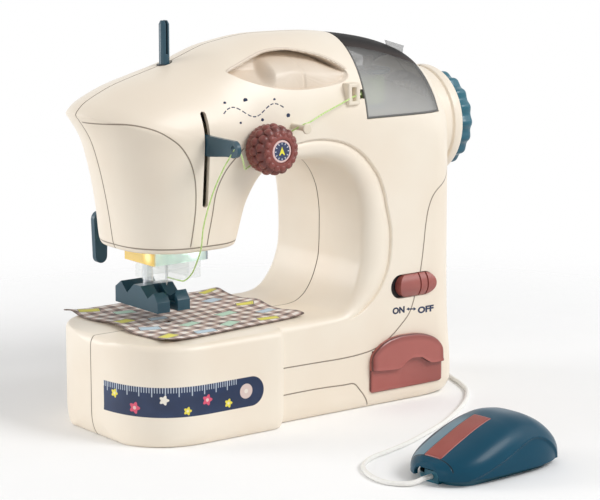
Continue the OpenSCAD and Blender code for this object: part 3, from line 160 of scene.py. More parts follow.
def mark(piece, name, values):  # one number for each vertex, read by a material
    layer = piece.data.attributes.new(name, "FLOAT", "POINT")
    layer.data.foreach_set("value", np.asarray(values, np.float32))


def settle(piece, body, slotName, material, *replaced):  # finish and body of a new piece; the slot name is not used
    piece.data.materials.clear()
    piece.data.materials.append(material)
    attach(piece, body)
    if replaced:
        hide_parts(*replaced)
    return piece


def easeThrough(rows, perStep):  # monotone cubic through the rows, perStep points from each row to the next
    rows = np.asarray(rows, float)
    delta = np.diff(rows, axis=0)
    product, total = delta[:-1] * delta[1:], delta[:-1] + delta[1:]
    inner = np.where(product > 0, 2 * product / np.where(product > 0, total, 1), 0)
    slope = np.vstack([delta[:1], inner, delta[-1:]])
    t = (np.arange(perStep) / perStep)[None, :, None]
    a, b, p, q = rows[:-1, None], rows[1:, None], slope[:-1, None], slope[1:, None]
    curve = (1 + 2 * t) * (1 - t) ** 2 * a + t * (1 - t) ** 2 * p + t * t * (3 - 2 * t) * b + t * t * (t - 1) * q
    return np.vstack([curve.reshape(-1, rows.shape[1]), rows[-1:]])


def roundThrough(points, perStep):  # Catmull-Rom curve through the points
    points = np.asarray(points, float)
    padded = np.vstack([2 * points[0] - points[1], points, 2 * points[-1] - points[-2]])
    a, b, c, d = padded[:-3, None], padded[1:-2, None], padded[2:-1, None], padded[3:, None]
    t = (np.arange(perStep) / perStep)[None, :, None]
    curve = 0.5 * (2 * b + (c - a) * t + (2 * a - 5 * b + 4 * c - d) * t ** 2 + (3 * b - a - 3 * c + d) * t ** 3)
    return np.vstack([curve.reshape(-1, points.shape[1]), points[-1:]])


def evenly(points, count):  # the same line with points at equal distances
    points = np.asarray(points, float)
    run = np.concatenate([[0], np.cumsum(np.linalg.norm(np.diff(points, axis=0), axis=1))])
    wanted = np.linspace(0, run[-1], count)
    return np.column_stack([np.interp(wanted, run, points[:, k]) for k in range(points.shape[1])])


def tube(name, path, radius, around=12):  # round section carried along a path, without twist jumps
    path = np.asarray(path, float)
    tangent = np.gradient(path, axis=0)
    tangent /= np.linalg.norm(tangent, axis=1)[:, None]
    side = np.cross(tangent, [0.123, 0.456, 0.881])
    side /= np.linalg.norm(side, axis=1)[:, None]
    up = np.cross(side, tangent)
    turn = np.linspace(0, 2 * math.pi, around, endpoint=False)[None, :, None]
    rings = path[:, None] + radius * (np.cos(turn) * side[:, None] + np.sin(turn) * up[:, None])
    return ringSolid(name, rings, 60)


def lineField(across, up, path):  # signed distance to a line in the front view, and the share of its length passed
    path = np.asarray(path, float)
    start, end = path[:-1], path[1:]
    run = end - start
    length = np.linalg.norm(run, axis=1)
    passed = np.concatenate([[0], np.cumsum(length)[:-1]])
    best = np.full(len(across), 1e9)
    signed, share = np.zeros(len(across)), np.zeros(len(across))
    for k in range(len(run)):  # a loop over the line's pieces, each done for all vertices at once
        dx, dz = across - start[k, 0], up - start[k, 1]
        t = (dx * run[k, 0] + dz * run[k, 1]) / length[k] ** 2
        low = -1e3 if k == 0 else 0
        high = 1e3 if k == len(run) - 1 else 1
        held = np.clip(t, low, high)
        gap = np.hypot(dx - held * run[k, 0], dz - held * run[k, 1])
        nearer = gap < best
        best = np.where(nearer, gap, best)
        side = np.sign(run[k, 0] * dz - run[k, 1] * dx)
        signed = np.where(nearer, gap * side, signed)
        share = np.where(nearer, (passed[k] + held * length[k]) / length.sum(), share)
    return signed, share


# shader helpers
class Wire:  # one socket of a material, so that shader maths reads as Python
    def __init__(self, tree, socket=None):
        self.tree, self.socket = tree, socket

    def node(self, kind, settings=None, inputs=None, out=0):  # any node: type, settings, then values or links
        made = self.tree.nodes.new("ShaderNode" + kind)
        for key, value in (settings or {}).items():
            if key == "stops":
                while len(made.color_ramp.elements) < len(value):
                    made.color_ramp.elements.new(0.5)
                for element, (place, color) in zip(made.color_ramp.elements, value):
                    element.position, element.color = place, color
            else:
                setattr(made, key, value)
        for key, value in (inputs or {}).items():
            if isinstance(value, Wire):
                self.tree.links.new(value.socket, made.inputs[key])
            else:
                made.inputs[key].default_value = value
        return Wire(self.tree, made.outputs[out])

    def math(self, operation, first, second=0.0):
        return self.node("Math", {"operation": operation}, {0: first, 1: second})

    def __add__(self, other): return self.math("ADD", self, other)
    def __radd__(self, other): return self.math("ADD", other, self)
    def __sub__(self, other): return self.math("SUBTRACT", self, other)
    def __rsub__(self, other): return self.math("SUBTRACT", other, self)
    def __mul__(self, other): return self.math("MULTIPLY", self, other)
    def __rmul__(self, other): return self.math("MULTIPLY", other, self)
    def __truediv__(self, other): return self.math("DIVIDE", self, other)
    def __pow__(self, other): return self.math("POWER", self, other)
    def __abs__(self): return self.math("ABSOLUTE", self)
    def __mod__(self, other): return self.math("FLOORED_MODULO", self, other)
    def __lt__(self, other): return self.math("LESS_THAN", self, other)
    def __gt__(self, other): return self.math("GREATER_THAN", self, other)

    def least(self, other): return self.math("MINIMUM", self, other)
    def most(self, other): return self.math("MAXIMUM", self, other)
    def sine(self): return self.math("SINE", self)
    def cosine(self): return self.math("COSINE", self)
    def heading(self, other): return self.math("ARCTAN2", self, other)

    def ramp(self, low, high, start=0.0, end=1.0):  # smooth step from start to end
        return self.node("MapRange", {"interpolation_type": "SMOOTHSTEP"},
                         {"Value": self, "From Min": low, "From Max": high, "To Min": start, "To Max": end})

    def attribute(self, name): return self.node("Attribute", {"attribute_name": name}, out="Fac")

    def axes(self):
        split = self.tree.nodes.new("ShaderNodeSeparateXYZ")
        self.tree.links.new(self.socket, split.inputs[0])
        return [Wire(self.tree, output) for output in split.outputs]

    def place(self):  # x, y, z on the piece, in millimetres
        return [axis * 1000.0 for axis in self.node("TexCoord", out="Object").axes()]

    def noise(self, scale, detail=2.0, stretch=None):  # scale in waves for each metre
        where = self.node("TexCoord", out="Object")
        if stretch:
            where = self.node("Mapping", inputs={"Vector": where, "Scale": stretch})
        return self.node("TexNoise", inputs={"Vector": where, "Scale": scale, "Detail": detail})

    def mix(self, factor, first, second):  # colours
        return self.node("Mix", {"data_type": "RGBA"}, {0: factor, 6: first, 7: second}, out=2)

    def bump(self, height, strength, distance, under=None):
        inputs = {"Height": height, "Strength": strength, "Distance": distance}
        if under:
            inputs["Normal"] = under
        return self.node("Bump", inputs=inputs)


def distance(*parts):  # length of a run that is given along each axis
    total = parts[0] * parts[0]
    for part in parts[1:]:
        total = total + part * part
    return total ** 0.5


def tone(code):  # hex colour as written on screen, made linear
    parts = [int(code[k:k + 2], 16) / 255 for k in (0, 2, 4)]
    return tuple(p / 12.92 if p <= 0.04045 else ((p + 0.055) / 1.055) ** 2.4 for p in parts) + (1.0,)


def newMaterial(name, **fixed):  # principled material with its fixed values set on the shader itself
    material = bpy.data.materials.new(name)
    material.use_nodes = True
    tree = material.node_tree
    shader = tree.nodes["Principled BSDF"]
    for key, value in fixed.items():
        shader.inputs[key.replace("_", " ")].default_value = value
    return material, Wire(tree), shader


def feed(wire, shader, **links):
    for key, value in links.items():
        wire.tree.links.new(value.socket, shader.inputs[key.replace("_", " ")])


mould = {"clouds": 26.0, "grain": 900.0, "depth": 0.00002}


def mouldedPlastic(name, light, dark, rough, coat=0.0):
    # two close tones in soft clouds, fine mould grain, and a roughness that wanders a little
    material, wire, shader = newMaterial(name, Coat_Weight=coat, Coat_Roughness=0.15)
    cloud, speck = wire.noise(mould["clouds"], 3.0), wire.noise(mould["grain"])
    color = wire.mix(cloud.ramp(0.35, 0.68), tone(light), tone(dark))
    feed(wire, shader, Base_Color=color, Roughness=rough - 0.05 + 0.1 * cloud + 0.05 * speck,
         Normal=wire.bump(speck, 0.25, mould["depth"]))
    return material


def metal(name, color, rough=0.25, streak=(1, 1, 60)):  # brushed along one direction
    material, wire, shader = newMaterial(name, Metallic=1.0)
    lines = wire.noise(60.0, 3.0, stretch=streak)
    feed(wire, shader, Base_Color=wire.mix(lines, tone(color), tone("e4e6e8")), Roughness=rough + 0.16 * lines,
         Normal=wire.bump(lines, 0.15, 0.00002))
    return material


# finishes that several pieces share
finishes = {
    "cream_inner": mouldedPlastic("creamInner", "e9dcc7", "dccdb5", 0.45),
    "teal_plastic": mouldedPlastic("tealPlastic", "1f6375", "185468", 0.3),
    "dark_plastic": mouldedPlastic("darkPlastic", "2b2a2c", "201f21", 0.42),
    "pale_plastic": mouldedPlastic("palePlastic", "ece1cf", "ded2bd", 0.36),
    "steel": metal("brushedSteel", "b9bcc0"),
    "screw_steel": metal("screwSteel", "8f9296", 0.3, (60, 60, 1)),
    "bush_brass": metal("bushBrass", "b08d57", 0.3),
    "cell_jacket": mouldedPlastic("cellJacket", "6b7860", "55624c", 0.3)}
print("finishes ready:", len(finishes))


# cream body: one loft from the lower edge of the head, over the nose, along the arm, down the column
# and through the base to its round left end; front and rear halves meet at the middle plane
bodySize = {"wall": 2.4, "rows": 500, "lip": 0.5, "seam": 0.3, "endCentre": -65, "endLeft": -111, "halfDepth": 55,
            "planPower": 2.6, "bed": 57, "lidLeft": 50, "lidRight": 104, "lidFront": 168, "lidRear": 187,
            "hingeArms": (53, 64, 87, 98), "armWide": 3, "screws": [[-88, 168], [-20, 181], [100, 112], [-95, 34],
                                                                    [22, 34], [112, 58]]}
needleX, shaftZ, beyond = -60, 157, 300  # needle line, shaft line, and a reach that clears the whole body
# throat side x and z, outer side x and z, half depth, throat corner width and depth, outer corner width and depth
bodyRows = [
    [-32, 103, -90, 103, 32, 20, 18, 26, 26], [-28.5, 104, -93.5, 104, 35.5, 22, 21, 29, 30],
    [-27, 107, -95, 107, 37, 24, 23, 31, 32], [-21, 125, -98, 125, 38, 26, 25, 35, 35],
    [-15, 140, -103, 148, 39.5, 24, 18, 40, 38], [-11, 145.5, -109, 166, 40.5, 22, 13, 48, 39],
    [-8, 147.3, -116, 177, 41, 18, 10, 54, 39.5], [-6.5, 147.8, -118, 180, 41, 16, 9, 56, 39.5],
    [-5, 148, -114.5, 184.5, 41, 14, 8.5, 58, 39.5], [-3, 148, -98, 193, 41, 12.4, 8, 60, 39.5],
    [1, 148, -58, 204.5, 41, 11.4, 8, 62, 39.5], [6, 148, -30, 213.5, 41, 11, 8, 60, 39.5],
    [13, 148, 0, 217, 41, 11, 8, 58, 39.5], [20, 147.5, 30, 216.5, 41, 11, 8, 56, 39.5],
    [28, 145.5, 58, 213.5, 41.5, 11.5, 8, 56, 40], [36, 140.5, 84, 208, 42.5, 12.4, 8, 58, 41],
    [42.5, 132, 104, 199, 44, 13.6, 8, 50, 41], [46.5, 121, 116, 184, 45.5, 15.2, 8, 38, 38],
    [48, 108, 119.5, 165, 46, 17, 8, 27, 30], [48, 98, 120, 125, 46, 17.6, 8, 25, 26],
    [47.5, 86, 120, 85, 46, 16.4, 8, 24, 25], [45, 76, 120, 50, 46, 14, 8, 24, 24],
    [41, 67.5, 120, 25, 46, 10.6, 7.4, 22, 20], [35.5, 61, 118, 8, 46, 7.4, 6.4, 18, 14],
    [29, 57.8, 108, 0.6, 46, 5.6, 5.4, 14, 8], [22, 57, 88, 0, 46, 5, 5, 12, 5],
    [12, 57, 55, 0, 46, 5, 5, 12, 5], [2, 57, 20, 0, 46, 5, 5, 12, 5], [-10, 57, -10, 0, 46, 5, 5, 12, 5],
    [-14.5, 57, -14.5, 0, 46.6, 5, 5, 12, 5], [-16, 57, -16, 0, 50, 5, 5, 12, 5],
    [-18.5, 57, -18.5, 0, 53.4, 4, 4, 12, 5], [-24, 57, -24, 0, 55, 4, 4, 12, 5], [-45, 57, -45, 0, 55, 4, 4, 12, 5],
    [-65, 57, -65, 0, 55, 4, 4, 12, 5]]


def endDepth(x):  # half depth of the base on its round left end, a superellipse in plan
    share = np.clip((bodySize["endCentre"] - x) / (bodySize["endCentre"] - bodySize["endLeft"]), 0, 0.9995)
    return bodySize["halfDepth"] * (1 - share ** bodySize["planPower"]) ** (1 / bodySize["planPower"])


def endRows(count, last):  # rows of the round end; top and bottom edges roll over like quarter ellipses
    share = np.sin(np.linspace(0, math.pi / 2, count + 1)[1:]) * last
    x = bodySize["endCentre"] - share * (bodySize["endCentre"] - bodySize["endLeft"])
    near = x - bodySize["endLeft"]
    top = bodySize["bed"] - 6 * (1 - np.sqrt(1 - np.clip(1 - near / 3.5, 0, 1) ** 2))
    low = 15 * (1 - np.sqrt(1 - np.clip(1 - near / 5.5, 0, 1) ** 2))
    same = np.ones(count)
    return np.column_stack([x, top, x, low, endDepth(x), 4 * same, 4 * same, 12 * same, 5 * same])


def denseRows(rows, count):  # rows at even steps of whichever side moves more
    fine = easeThrough(rows, 24)
    step = np.abs(np.diff(fine, axis=0))
    throat, outer = step[:, 0] ** 2 + step[:, 1] ** 2, step[:, 2] ** 2 + step[:, 3] ** 2
    moved = np.sqrt(np.maximum(throat, outer) + 2 * step[:, 4] ** 2)
    run = np.concatenate([[0], np.cumsum(moved + 0.004)])
    wanted = np.linspace(0, run[-1], count)
    return np.column_stack([np.interp(wanted, run, fine[:, k]) for k in range(9)])


def sectionRings(rows, inset, counts, seam, lip):
    # each row's outline on one side of the middle plane: throat face, elliptic corner, step, side, elliptic corner, top
    chord = rows[:, 2:4] - rows[:, 0:2]
    span = np.linalg.norm(chord, axis=1)[:, None]
    toward = chord / span
    half = np.maximum(rows[:, 4:5] - inset, 0.6)
    throatW, outerW = np.maximum(rows[:, 5:6] - inset, 0.6), np.maximum(rows[:, 7:8] - inset, 0.6)
    throatD = np.minimum(np.maximum(rows[:, 6:7] - inset, 0.6), 0.9 * half)
    outerD = np.minimum(np.maximum(rows[:, 8:9] - inset, 0.6), 0.96 * half)
    low = half - lip
    one = np.ones_like(span)
    rim = np.clip(lip / bodySize["lip"], 0, 1) * one
    crest = 0.97 - 0.37 * rim
    drop = np.maximum(throatD - lip, 0.3)
    flat = np.linspace(0, 1, counts[0], endpoint=False)[None]
    roll = np.linspace(0, 1, 8)[None, 1:]
    bend = np.linspace(0, math.pi / 2, counts[1])[None]
    face = np.linspace(0, 1, counts[2])[None]
    turn = np.linspace(0, math.pi / 2, counts[3])[None]
    back = np.linspace(0, 1, counts[4] + 1)[None, 1:]
    nick = 0.3 if seam > 0 else 0.0
    along = [one * (inset + nick), inset + 0 * flat * one, inset + throatW * crest * (1 - np.cos(bend)),
             inset + throatW * (crest + (1 - crest) * roll), inset + throatW + 0.3 * one, inset + throatW + 0.7 * one,
             inset + throatW + 1.3 + (span - 2 * inset - outerW - throatW - 1.3) * face,
             span - inset - outerW + outerW * np.sin(turn[:, 1:]), span - inset + 0 * back * one, span - inset - nick]
    depth = [one * seam * 0.2, seam + (low - drop - seam) * flat, low - drop + drop * np.sin(bend),
             low - 1.3 * rim * roll ** 2, low - 1.3 * rim, half - 0.4 * rim, half + 0 * face,
             half - outerD + outerD * np.cos(turn[:, 1:]),
             (half - outerD) + (seam - half + outerD) * back, one * seam * 0.2]
    along, depth = np.hstack(along), np.hstack(depth)
    return np.stack([rows[:, 0:1] + toward[:, 0:1] * along, -depth, rows[:, 1:2] + toward[:, 1:2] * along], axis=-1)


roundEnd = endRows(14, 0.9995)
shellRows = denseRows(np.vstack([bodyRows, roundEnd]), bodySize["rows"])
throatX, throatZ = shellRows[:, 0], shellRows[:, 1]
lipByRow = bodySize["lip"] * np.clip(np.where(throatZ > 100, (throatX + 2) / 8, (throatX - 30) / 9), 0, 1)[:, None]
outerFront = sectionRings(shellRows, 0, (10, 20, 52, 46, 8), bodySize["seam"], lipByRow)
cavityStart = [[-30, 105.4, -92, 105.4, 35.5, 22, 21, 29, 30]]
cavityRows = easeThrough(np.vstack([cavityStart, bodyRows[3:], roundEnd[:5]]), 3)
cavityFront = sectionRings(cavityRows, bodySize["wall"], (3, 8, 14, 16, 3), -0.4, 0.0)

collarProfile = easeThrough([[100, 30], [108, 32.4], [118, 32.8], [121, 32.8], [122, 31.4], [123, 31.6], [124, 33],
                             [127, 33.2], [129.4, 32.6], [130.6, 31.2], [131, 29.6]], 5)
collarRoom = np.array([[101, 30.6], [128.6, 30.6]])


def halfDiscs(profile, y0, around=96):  # half discs along the shaft line, on the front side
    turn = np.linspace(0, math.pi, around)[None]
    x = np.repeat(profile[:, :1], around, 1)
    return np.stack([x, -profile[:, 1:2] * np.sin(turn) - y0, shaftZ + profile[:, 1:2] * np.cos(turn)], axis=-1)


def bodyHalf(name, side):  # side -1 is the front, 1 the rear
    flip = np.array([1, -side, 1])
    shell = ringSolid(name, outerFront * flip)
    combine(shell, ringSolid("collarHalf", halfDiscs(collarProfile, 0.06) * flip), "UNION")
    room = ringSolid("bodyRoom", cavityFront * flip)
    combine(room, ringSolid("collarRoom", halfDiscs(collarRoom, -0.3) * flip), "UNION")
    combine(shell, room, "DIFFERENCE")
    size = bodySize
    cutters = [
        prism("lidRoom", block(size["lidLeft"], size["lidRight"], size["lidFront"], beyond), "y", -beyond, 0.02),
        prism("lidRoomRear", block(size["lidLeft"], size["lidRight"], size["lidRear"], beyond), "y", -0.02, beyond),
        prism("pinHole", circle(needleX, 0, 4.4), "z", 177, 247),
        prism("lampRoom", roundBlock(-74.7, -45.3, -13.2, 29.4, 2), "z", 101, 106.4),
        prism("plateRoom", roundBlock(-78.2, -41.8, -20.2, 20.2, 1.5), "z", 51, 61),
        prism("floorRoom", roundBlock(-92.2, 104.2, -37.2, 37.2, 12), "z", -1, 2.4),
        prism("shaftHole", circle(0, shaftZ, 4), "x", 100, 140)]
    if side < 0:
        cutters += [
            prism("leverSlot", capsule(needleX, 130.3, needleX, 179.2, 1.8), "y", -60, -20),
            prism("switchWindow", capsule(72, 69, 90, 69, 7, 32), "y", -60, -30),
            prism("drawerRoom", block(51, 101, 8.5, 33.5), "y", -60, -20),
            prism("threadNotch", roundBlock(45.4, 53, 179.6, 184.8, 1), "y", -50, -25),
            prism("gripHole", gripOutline(), "y", -60, -12)]
    else:
        cutters += [prism("screwWell", circle(x, z, 3.7), "y", 24, 70) for x, z in size["screws"]]
        cutters += [prism("airSlot", capsule(72 + 7 * k, 84, 72 + 7 * k, 104, 1.2), "y", 30, 60) for k in range(5)]
        cutters += [prism("armNotch", block(x - 0.4, x + size["armWide"] + 0.4, 181, 189), "y", 27.5, 47.5)
                    for x in size["hingeArms"]]
        cutters += [prism("lifterHole", circle(-64, 109.5, 2.6), "y", 28, 60),
                    prism("socketHole", circle(15, 12, 2.4), "x", 112, 124)]
    for cutter in cutters:
        combine(shell, cutter, "DIFFERENCE")
    return resharpen(shell)


grip = {"path": [[-36, 199.4], [-24, 203.6], [-11, 207.6], [0, 208.8], [12, 208], [26, 204.6], [36, 200], [42.6, 194.6],
                 [40.4, 190.6], [30, 188.4], [11, 187.4], [-4, 188.6], [-17, 191.4], [-28, 195.2]]}


def gripOutline(count=140):  # almond outline of the finger recess, evenly spaced
    closed = np.vstack([grip["path"], grip["path"][:1]])
    return evenly(roundThrough(closed, 12), count + 1)[:-1]


frontBody = bodyHalf("frontBody", -1)
print("front half:", len(frontBody.data.polygons), "faces")
rearBody = bodyHalf("rearBody", 1)
print("rear half:", len(rearBody.data.polygons), "faces")


def creamFinish(name, withPrint):  # cream plastic; seams, crease lines and label come from the marks on the mesh; the seams are dark joints, the crease lines are painted shade
    material, wire, shader = newMaterial(name, Coat_Weight=0.12, Coat_Roughness=0.2)
    cloud, speck = wire.noise(16.0, 3.0), wire.noise(700.0, 2.0)
    color = wire.mix(cloud.ramp(0.3, 0.7), tone("f0e6d6"), tone("ecdfcd"))
    groove = abs(wire.place()[1]).ramp(0.2, 0.5, 1.0, 0.0)  # the seam of the two halves
    # face, lip and panel lines: painted shade in the creases; column and cap lines and the middle seam: dark joints
    for line in bodyLines:
        near = abs(wire.attribute(line)).ramp(0.16, 0.55, 1.0, 0.0) * wire.attribute(line + "Part")
        groove = groove.most(near)
    # one dark colour over seams and creases: dark joints, and painted shade in the creases
    color = wire.mix(groove * 0.85, color, tone("6d5c4b"))
    if withPrint:
        color = labelPrint(wire, color)
    grain = wire.bump(speck, 0.12, 0.00002)
    feed(wire, shader, Base_Color=color, Roughness=0.32 + 0.1 * cloud + 0.04 * speck,
         Normal=wire.bump(1.0 - groove, 0.7, 0.0004, grain))
    return material


bodyLines = {
    "columnLine": [[113.5, 136], [107.3, 128.3], [97.4, 121.6], [92.8, 113.3], [90.6, 103.2], [89.2, 91.5], [86.6, 75],
                   [82, 59.7], [78.4, 52], [71.8, 45.5], [64.4, 39.8], [55.1, 35.2], [44, 33.1], [29.4, 32.4],
                   [11.4, 32.6], [-10.8, 32.8], [-15.4, 32.8]],
    "panelLine": [[-15.4, 17.2], [11.4, 17.3], [30, 16.6], [37.7, 16.3], [42.3, 11.9], [46.3, 6.8], [49.5, 1.5]],
    "faceLine": [[-118, 175.6], [-113.8, 176.3], [-106.5, 176.8], [-98.8, 175.8], [-90.5, 173.1], [-84.2, 169.5],
                 [-77, 164], [-71.5, 156.7], [-68.3, 148.8], [-66.7, 140.4], [-66.2, 130.6], [-66.7, 122.3],
                 [-68.1, 112], [-69, 106.6]],
    "lipLine": [[-36, 159], [-40.9, 154.6], [-47.8, 146.9], [-53, 136.2], [-55, 123.8], [-57.2, 112.9], [-58.2, 106.6]],
    "capLine": [[-130, 106.4], [-10, 106.4]]}


def markLines(piece, names):  # distance to each groove, and where the groove runs
    x, y, z = places(piece).T
    for name in bodyLines:
        signed, share = lineField(x, z, roundThrough(bodyLines[name], 8))
        inside = (share > 0) & (share < 1) & (y < -2) if name != "capLine" else (z < 115) & (x < -10)
        mark(piece, name, signed)
        mark(piece, name + "Part", inside & (name in names))


label = {"low": 17.6, "high": 34.4, "left": 8.0, "right": 111.0, "ruled": 93.0, "navy": "1d3359", "tick": "c9d3df",
         "dots": [[17, 28.6, 2.6, "e8d94a"], [31, 22.4, 3.4, "d9536f"], [48, 27.4, 2.8, "efe9dc"],
                  [61, 20.8, 2.4, "e8d94a"], [73, 25.6, 3.2, "d9536f"], [87, 21.6, 2.6, "e8d94a"],
                  [99, 26.6, 4.2, "d8c3bb"]]}


def markLabel(piece):  # run along the outer face of the base, measured from the left tip
    x, y, z = places(piece).T
    left, centre = bodySize["endLeft"], bodySize["endCentre"]
    bend = left + (centre - left) * (1 - np.sin(np.linspace(math.pi / 2, 0, 400)))
    across = np.concatenate([bend, np.linspace(centre + 0.1, 0, 200)])
    out = endDepth(np.minimum(across, centre))
    run = np.concatenate([[0], np.cumsum(np.hypot(np.diff(across), np.diff(out)))])
    normal = normals(piece)
    shows = (y < -1) & (z < 50) & (x < -20) & ((normal[:, 1] < -0.02) | (normal[:, 0] < -0.6))
    mark(piece, "labelRun", np.interp(x, across, run))
    mark(piece, "labelPart", shows)


def labelPrint(wire, color):  # navy sticker with a ruled edge and plain dots and petals
    run, z = wire.attribute("labelRun"), wire.place()[2]
    middle, half = (label["low"] + label["high"]) / 2, (label["high"] - label["low"]) / 2
    overX = (run - (label["right"] - half)).most(0.0)
    reach = distance(overX, z - middle)
    inside = (half - reach).least(run - label["left"]).ramp(-0.12, 0.12) * (wire.attribute("labelPart") > 0.5)
    ink = wire.mix(wire.noise(60.0).ramp(0.3, 0.7), tone(label["navy"]), tone("17294a"))
    top = label["high"] - z
    for pitch, length, width in ((1.5, 3.0, 0.16), (7.5, 5.2, 0.22)):
        stripe = abs((run % pitch) - pitch / 2).ramp(width, width + 0.18, 1.0, 0.0)
        tick = stripe * top.ramp(length, length + 0.2, 1.0, 0.0) * (run < label["ruled"])
        ink = wire.mix(tick * 0.8, ink, tone(label["tick"]))
    for dotX, dotZ, radius, code in label["dots"]:
        dx, dz = run - dotX, z - dotZ
        away, petals = distance(dx, dz), dz.heading(dx)
        edge = radius * (0.82 + 0.18 * (petals * 5.0).cosine()) if radius < 4 else radius
        ink = wire.mix((away - edge).ramp(-0.15, 0.15, 1.0, 0.0), ink, tone(code))
        ink = wire.mix((away - 0.3 * radius).ramp(-0.12, 0.12, 0.55, 0.0), ink, tone("f3efe4"))
    return wire.mix(inside, color, ink)


markLines(frontBody, list(bodyLines))
markLines(rearBody, ["capLine"])
markLabel(frontBody)
settle(frontBody, "casing", "cream_shell", creamFinish("creamFront", True), "front_shell")
settle(rearBody, "casing", "cream_shell", creamFinish("creamRear", False), "rear_shell")
print("body marked and finished")


# finger recess: bowl under the almond opening, a deep scoop at its left and a rounded bar to the right
def surfaceDepth(x, z):  # y of the front surface at places in the front view, from the nearest rows
    cloud = outerFront.reshape(-1, 3)
    cloud = cloud[(cloud[:, 1] < -8) & (cloud[:, 2] > 150)]
    gap = (x[:, None] - cloud[None, :, 0]) ** 2 + (z[:, None] - cloud[None, :, 2]) ** 2
    near = np.argpartition(gap, 5, axis=1)[:, :5]
    weight = 1 / (np.take_along_axis(gap, near, 1) + 0.02)
    return (cloud[near, 1] * weight).sum(1) / weight.sum(1)


def buildGrip():
    rim = gripOutline(180)
    rimY = surfaceDepth(rim[:, 0], rim[:, 1])
    inward = np.concatenate([[0, 0.012, 0.03], np.linspace(0.05, 1, 44)])[:, None]
    centre = np.array([4.0, 198.2])
    x = rim[None, :, 0] + (centre[0] - rim[None, :, 0]) * inward
    z = rim[None, :, 1] + (centre[1] - rim[None, :, 1]) * inward
    lie = rimY[None] * (1 - inward) + (-33.5) * inward
    share = (x + 36) / 78.6
    middle = np.interp(x, [-36, -10, 12, 42.6], [197.6, 199.4, 198.2, 194.4])
    reach = np.interp(x, [-36, -24, 0, 26, 42.6], [1.0, 6.4, 10.2, 8.6, 1.0])
    v = np.clip((z - middle) / reach, -1.2, 1.2)
    blend = np.clip((share - 0.3 - 0.02 * v) / 0.08, 0, 1)
    blend = blend * blend * (3 - 2 * blend)
    scoop = 11.5 * np.sqrt(np.clip(1 - 0.75 * v * v, 0.03, 1))
    bar = 1.6 + 7.5 * np.clip(v + 0.25, 0, 2) ** 1.9 + 1.4 * np.clip(-v - 0.35, 0, 1) ** 1.5
    ring = 0.7 * np.exp(-((x - 12) / 0.9) ** 2)
    sink = np.clip(inward / 0.045, 0, 1) * (scoop * (1 - blend) + (bar + ring) * blend)
    rings = np.stack([x, lie + 0.05 + sink, z], axis=-1)
    faces = gridFaces(rings.shape[0], rings.shape[1], True)[:, ::-1]
    bowl = newPiece("fingerRecess", fillMesh("fingerRecess", rings.reshape(-1, 3), [faces]), 50)
    thick = bowl.modifiers.new("thick", "SOLIDIFY")
    thick.thickness, thick.offset = 0.0016, -1
    return bowl


# a darker copy of the cream for the finger recess: painted shade in the hollow
shadedRecessFinish = mouldedPlastic("creamRecessShaded", "e9dccc", "e0d1bf", 0.36)
settle(buildGrip(), "casing", "cream_shell", shadedRecessFinish, "front_shell")
print("finger recess done")


# smoke cover: a thin slice of the same loft
lid = {"wall": 1.8, "gap": 0.4, "rows": slice(12, 19), "hinge": (41.5, 184), "knuckle": 2.2, "bore": 1.25,
       "armEnd": [[34.5, 192.5], [24.5, 192.5], [24.5, 190]], "armMiddle": (35, 187.5), "tabY": -11,
       "tabEnds": [88.8, 100.4]}


def wholeRings(rows, inset):  # full closed outline of each row
    front = sectionRings(rows, inset, (6, 12, 60, 60, 8), 0.0, 0.0)[:, 1:-1]
    rear = front[:, ::-1][:, 1:-1] * [1, -1, 1]
    return np.concatenate([front, rear], axis=1)


def buildLid():
    part = denseRows(np.array(bodyRows)[lid["rows"]], 150)
    cover = ringSolid("spoolCover", wholeRings(part, 0))
    combine(cover, ringSolid("coverRoom", wholeRings(part, lid["wall"])), "DIFFERENCE")
    low, high = bodySize["lidLeft"] + lid["gap"], bodySize["lidRight"] - lid["gap"]
    keep = prism("keep", block(low, high, bodySize["lidFront"] + lid["gap"], beyond), "y", -beyond, 0.5)
    keepRear = prism("keepRear", block(low, high, bodySize["lidRear"] + lid["gap"], beyond), "y", 0, beyond)
    combine(keep, keepRear, "UNION")
    combine(cover, keep, "INTERSECT")
    number = np.arange(24)  # each hinge arm: the outer part of a round knuckle, joined to the cover's edge
    knuckle = circle(*lid["hinge"], lid["knuckle"], 24)[(number > 15) | (number < 6)]
    arm = np.vstack([knuckle, lid["armEnd"]])
    across, up = (arm - lid["armMiddle"]).T
    arm = arm[np.argsort(np.arctan2(up, across))]
    for x in bodySize["hingeArms"]:
        combine(cover, prism("arm", arm, "x", x, x + bodySize["armWide"]), "UNION")
    bore = prism("pinBore", circle(*lid["hinge"], lid["bore"]), "x", bodySize["lidLeft"], bodySize["lidRight"])
    combine(cover, bore, "DIFFERENCE")
    return resharpen(cover)


def buildTab():  # thumb tab that stands on the crown of the cover
    crown = wholeRings(denseRows(np.array(bodyRows)[lid["rows"]], 150), 0).reshape(-1, 3)
    crown = crown[(np.abs(crown[:, 1] - lid["tabY"]) < 1.5) & (crown[:, 2] > 180)]
    crown = crown[np.argsort(crown[:, 0])]
    left, right = lid["tabEnds"]
    low, high = np.interp([left, right], crown[:, 0], crown[:, 2])
    outline = [[left, low - 1], [right, high - 1], [right + 0.2, high + 2.6], [right + 1, high + 4.2],
               [left - 1, low + 3.2], [left - 0.2, low + 1.6]]
    return prism("coverTab", outline, "y", lid["tabY"] - 1, lid["tabY"] + 0.6)


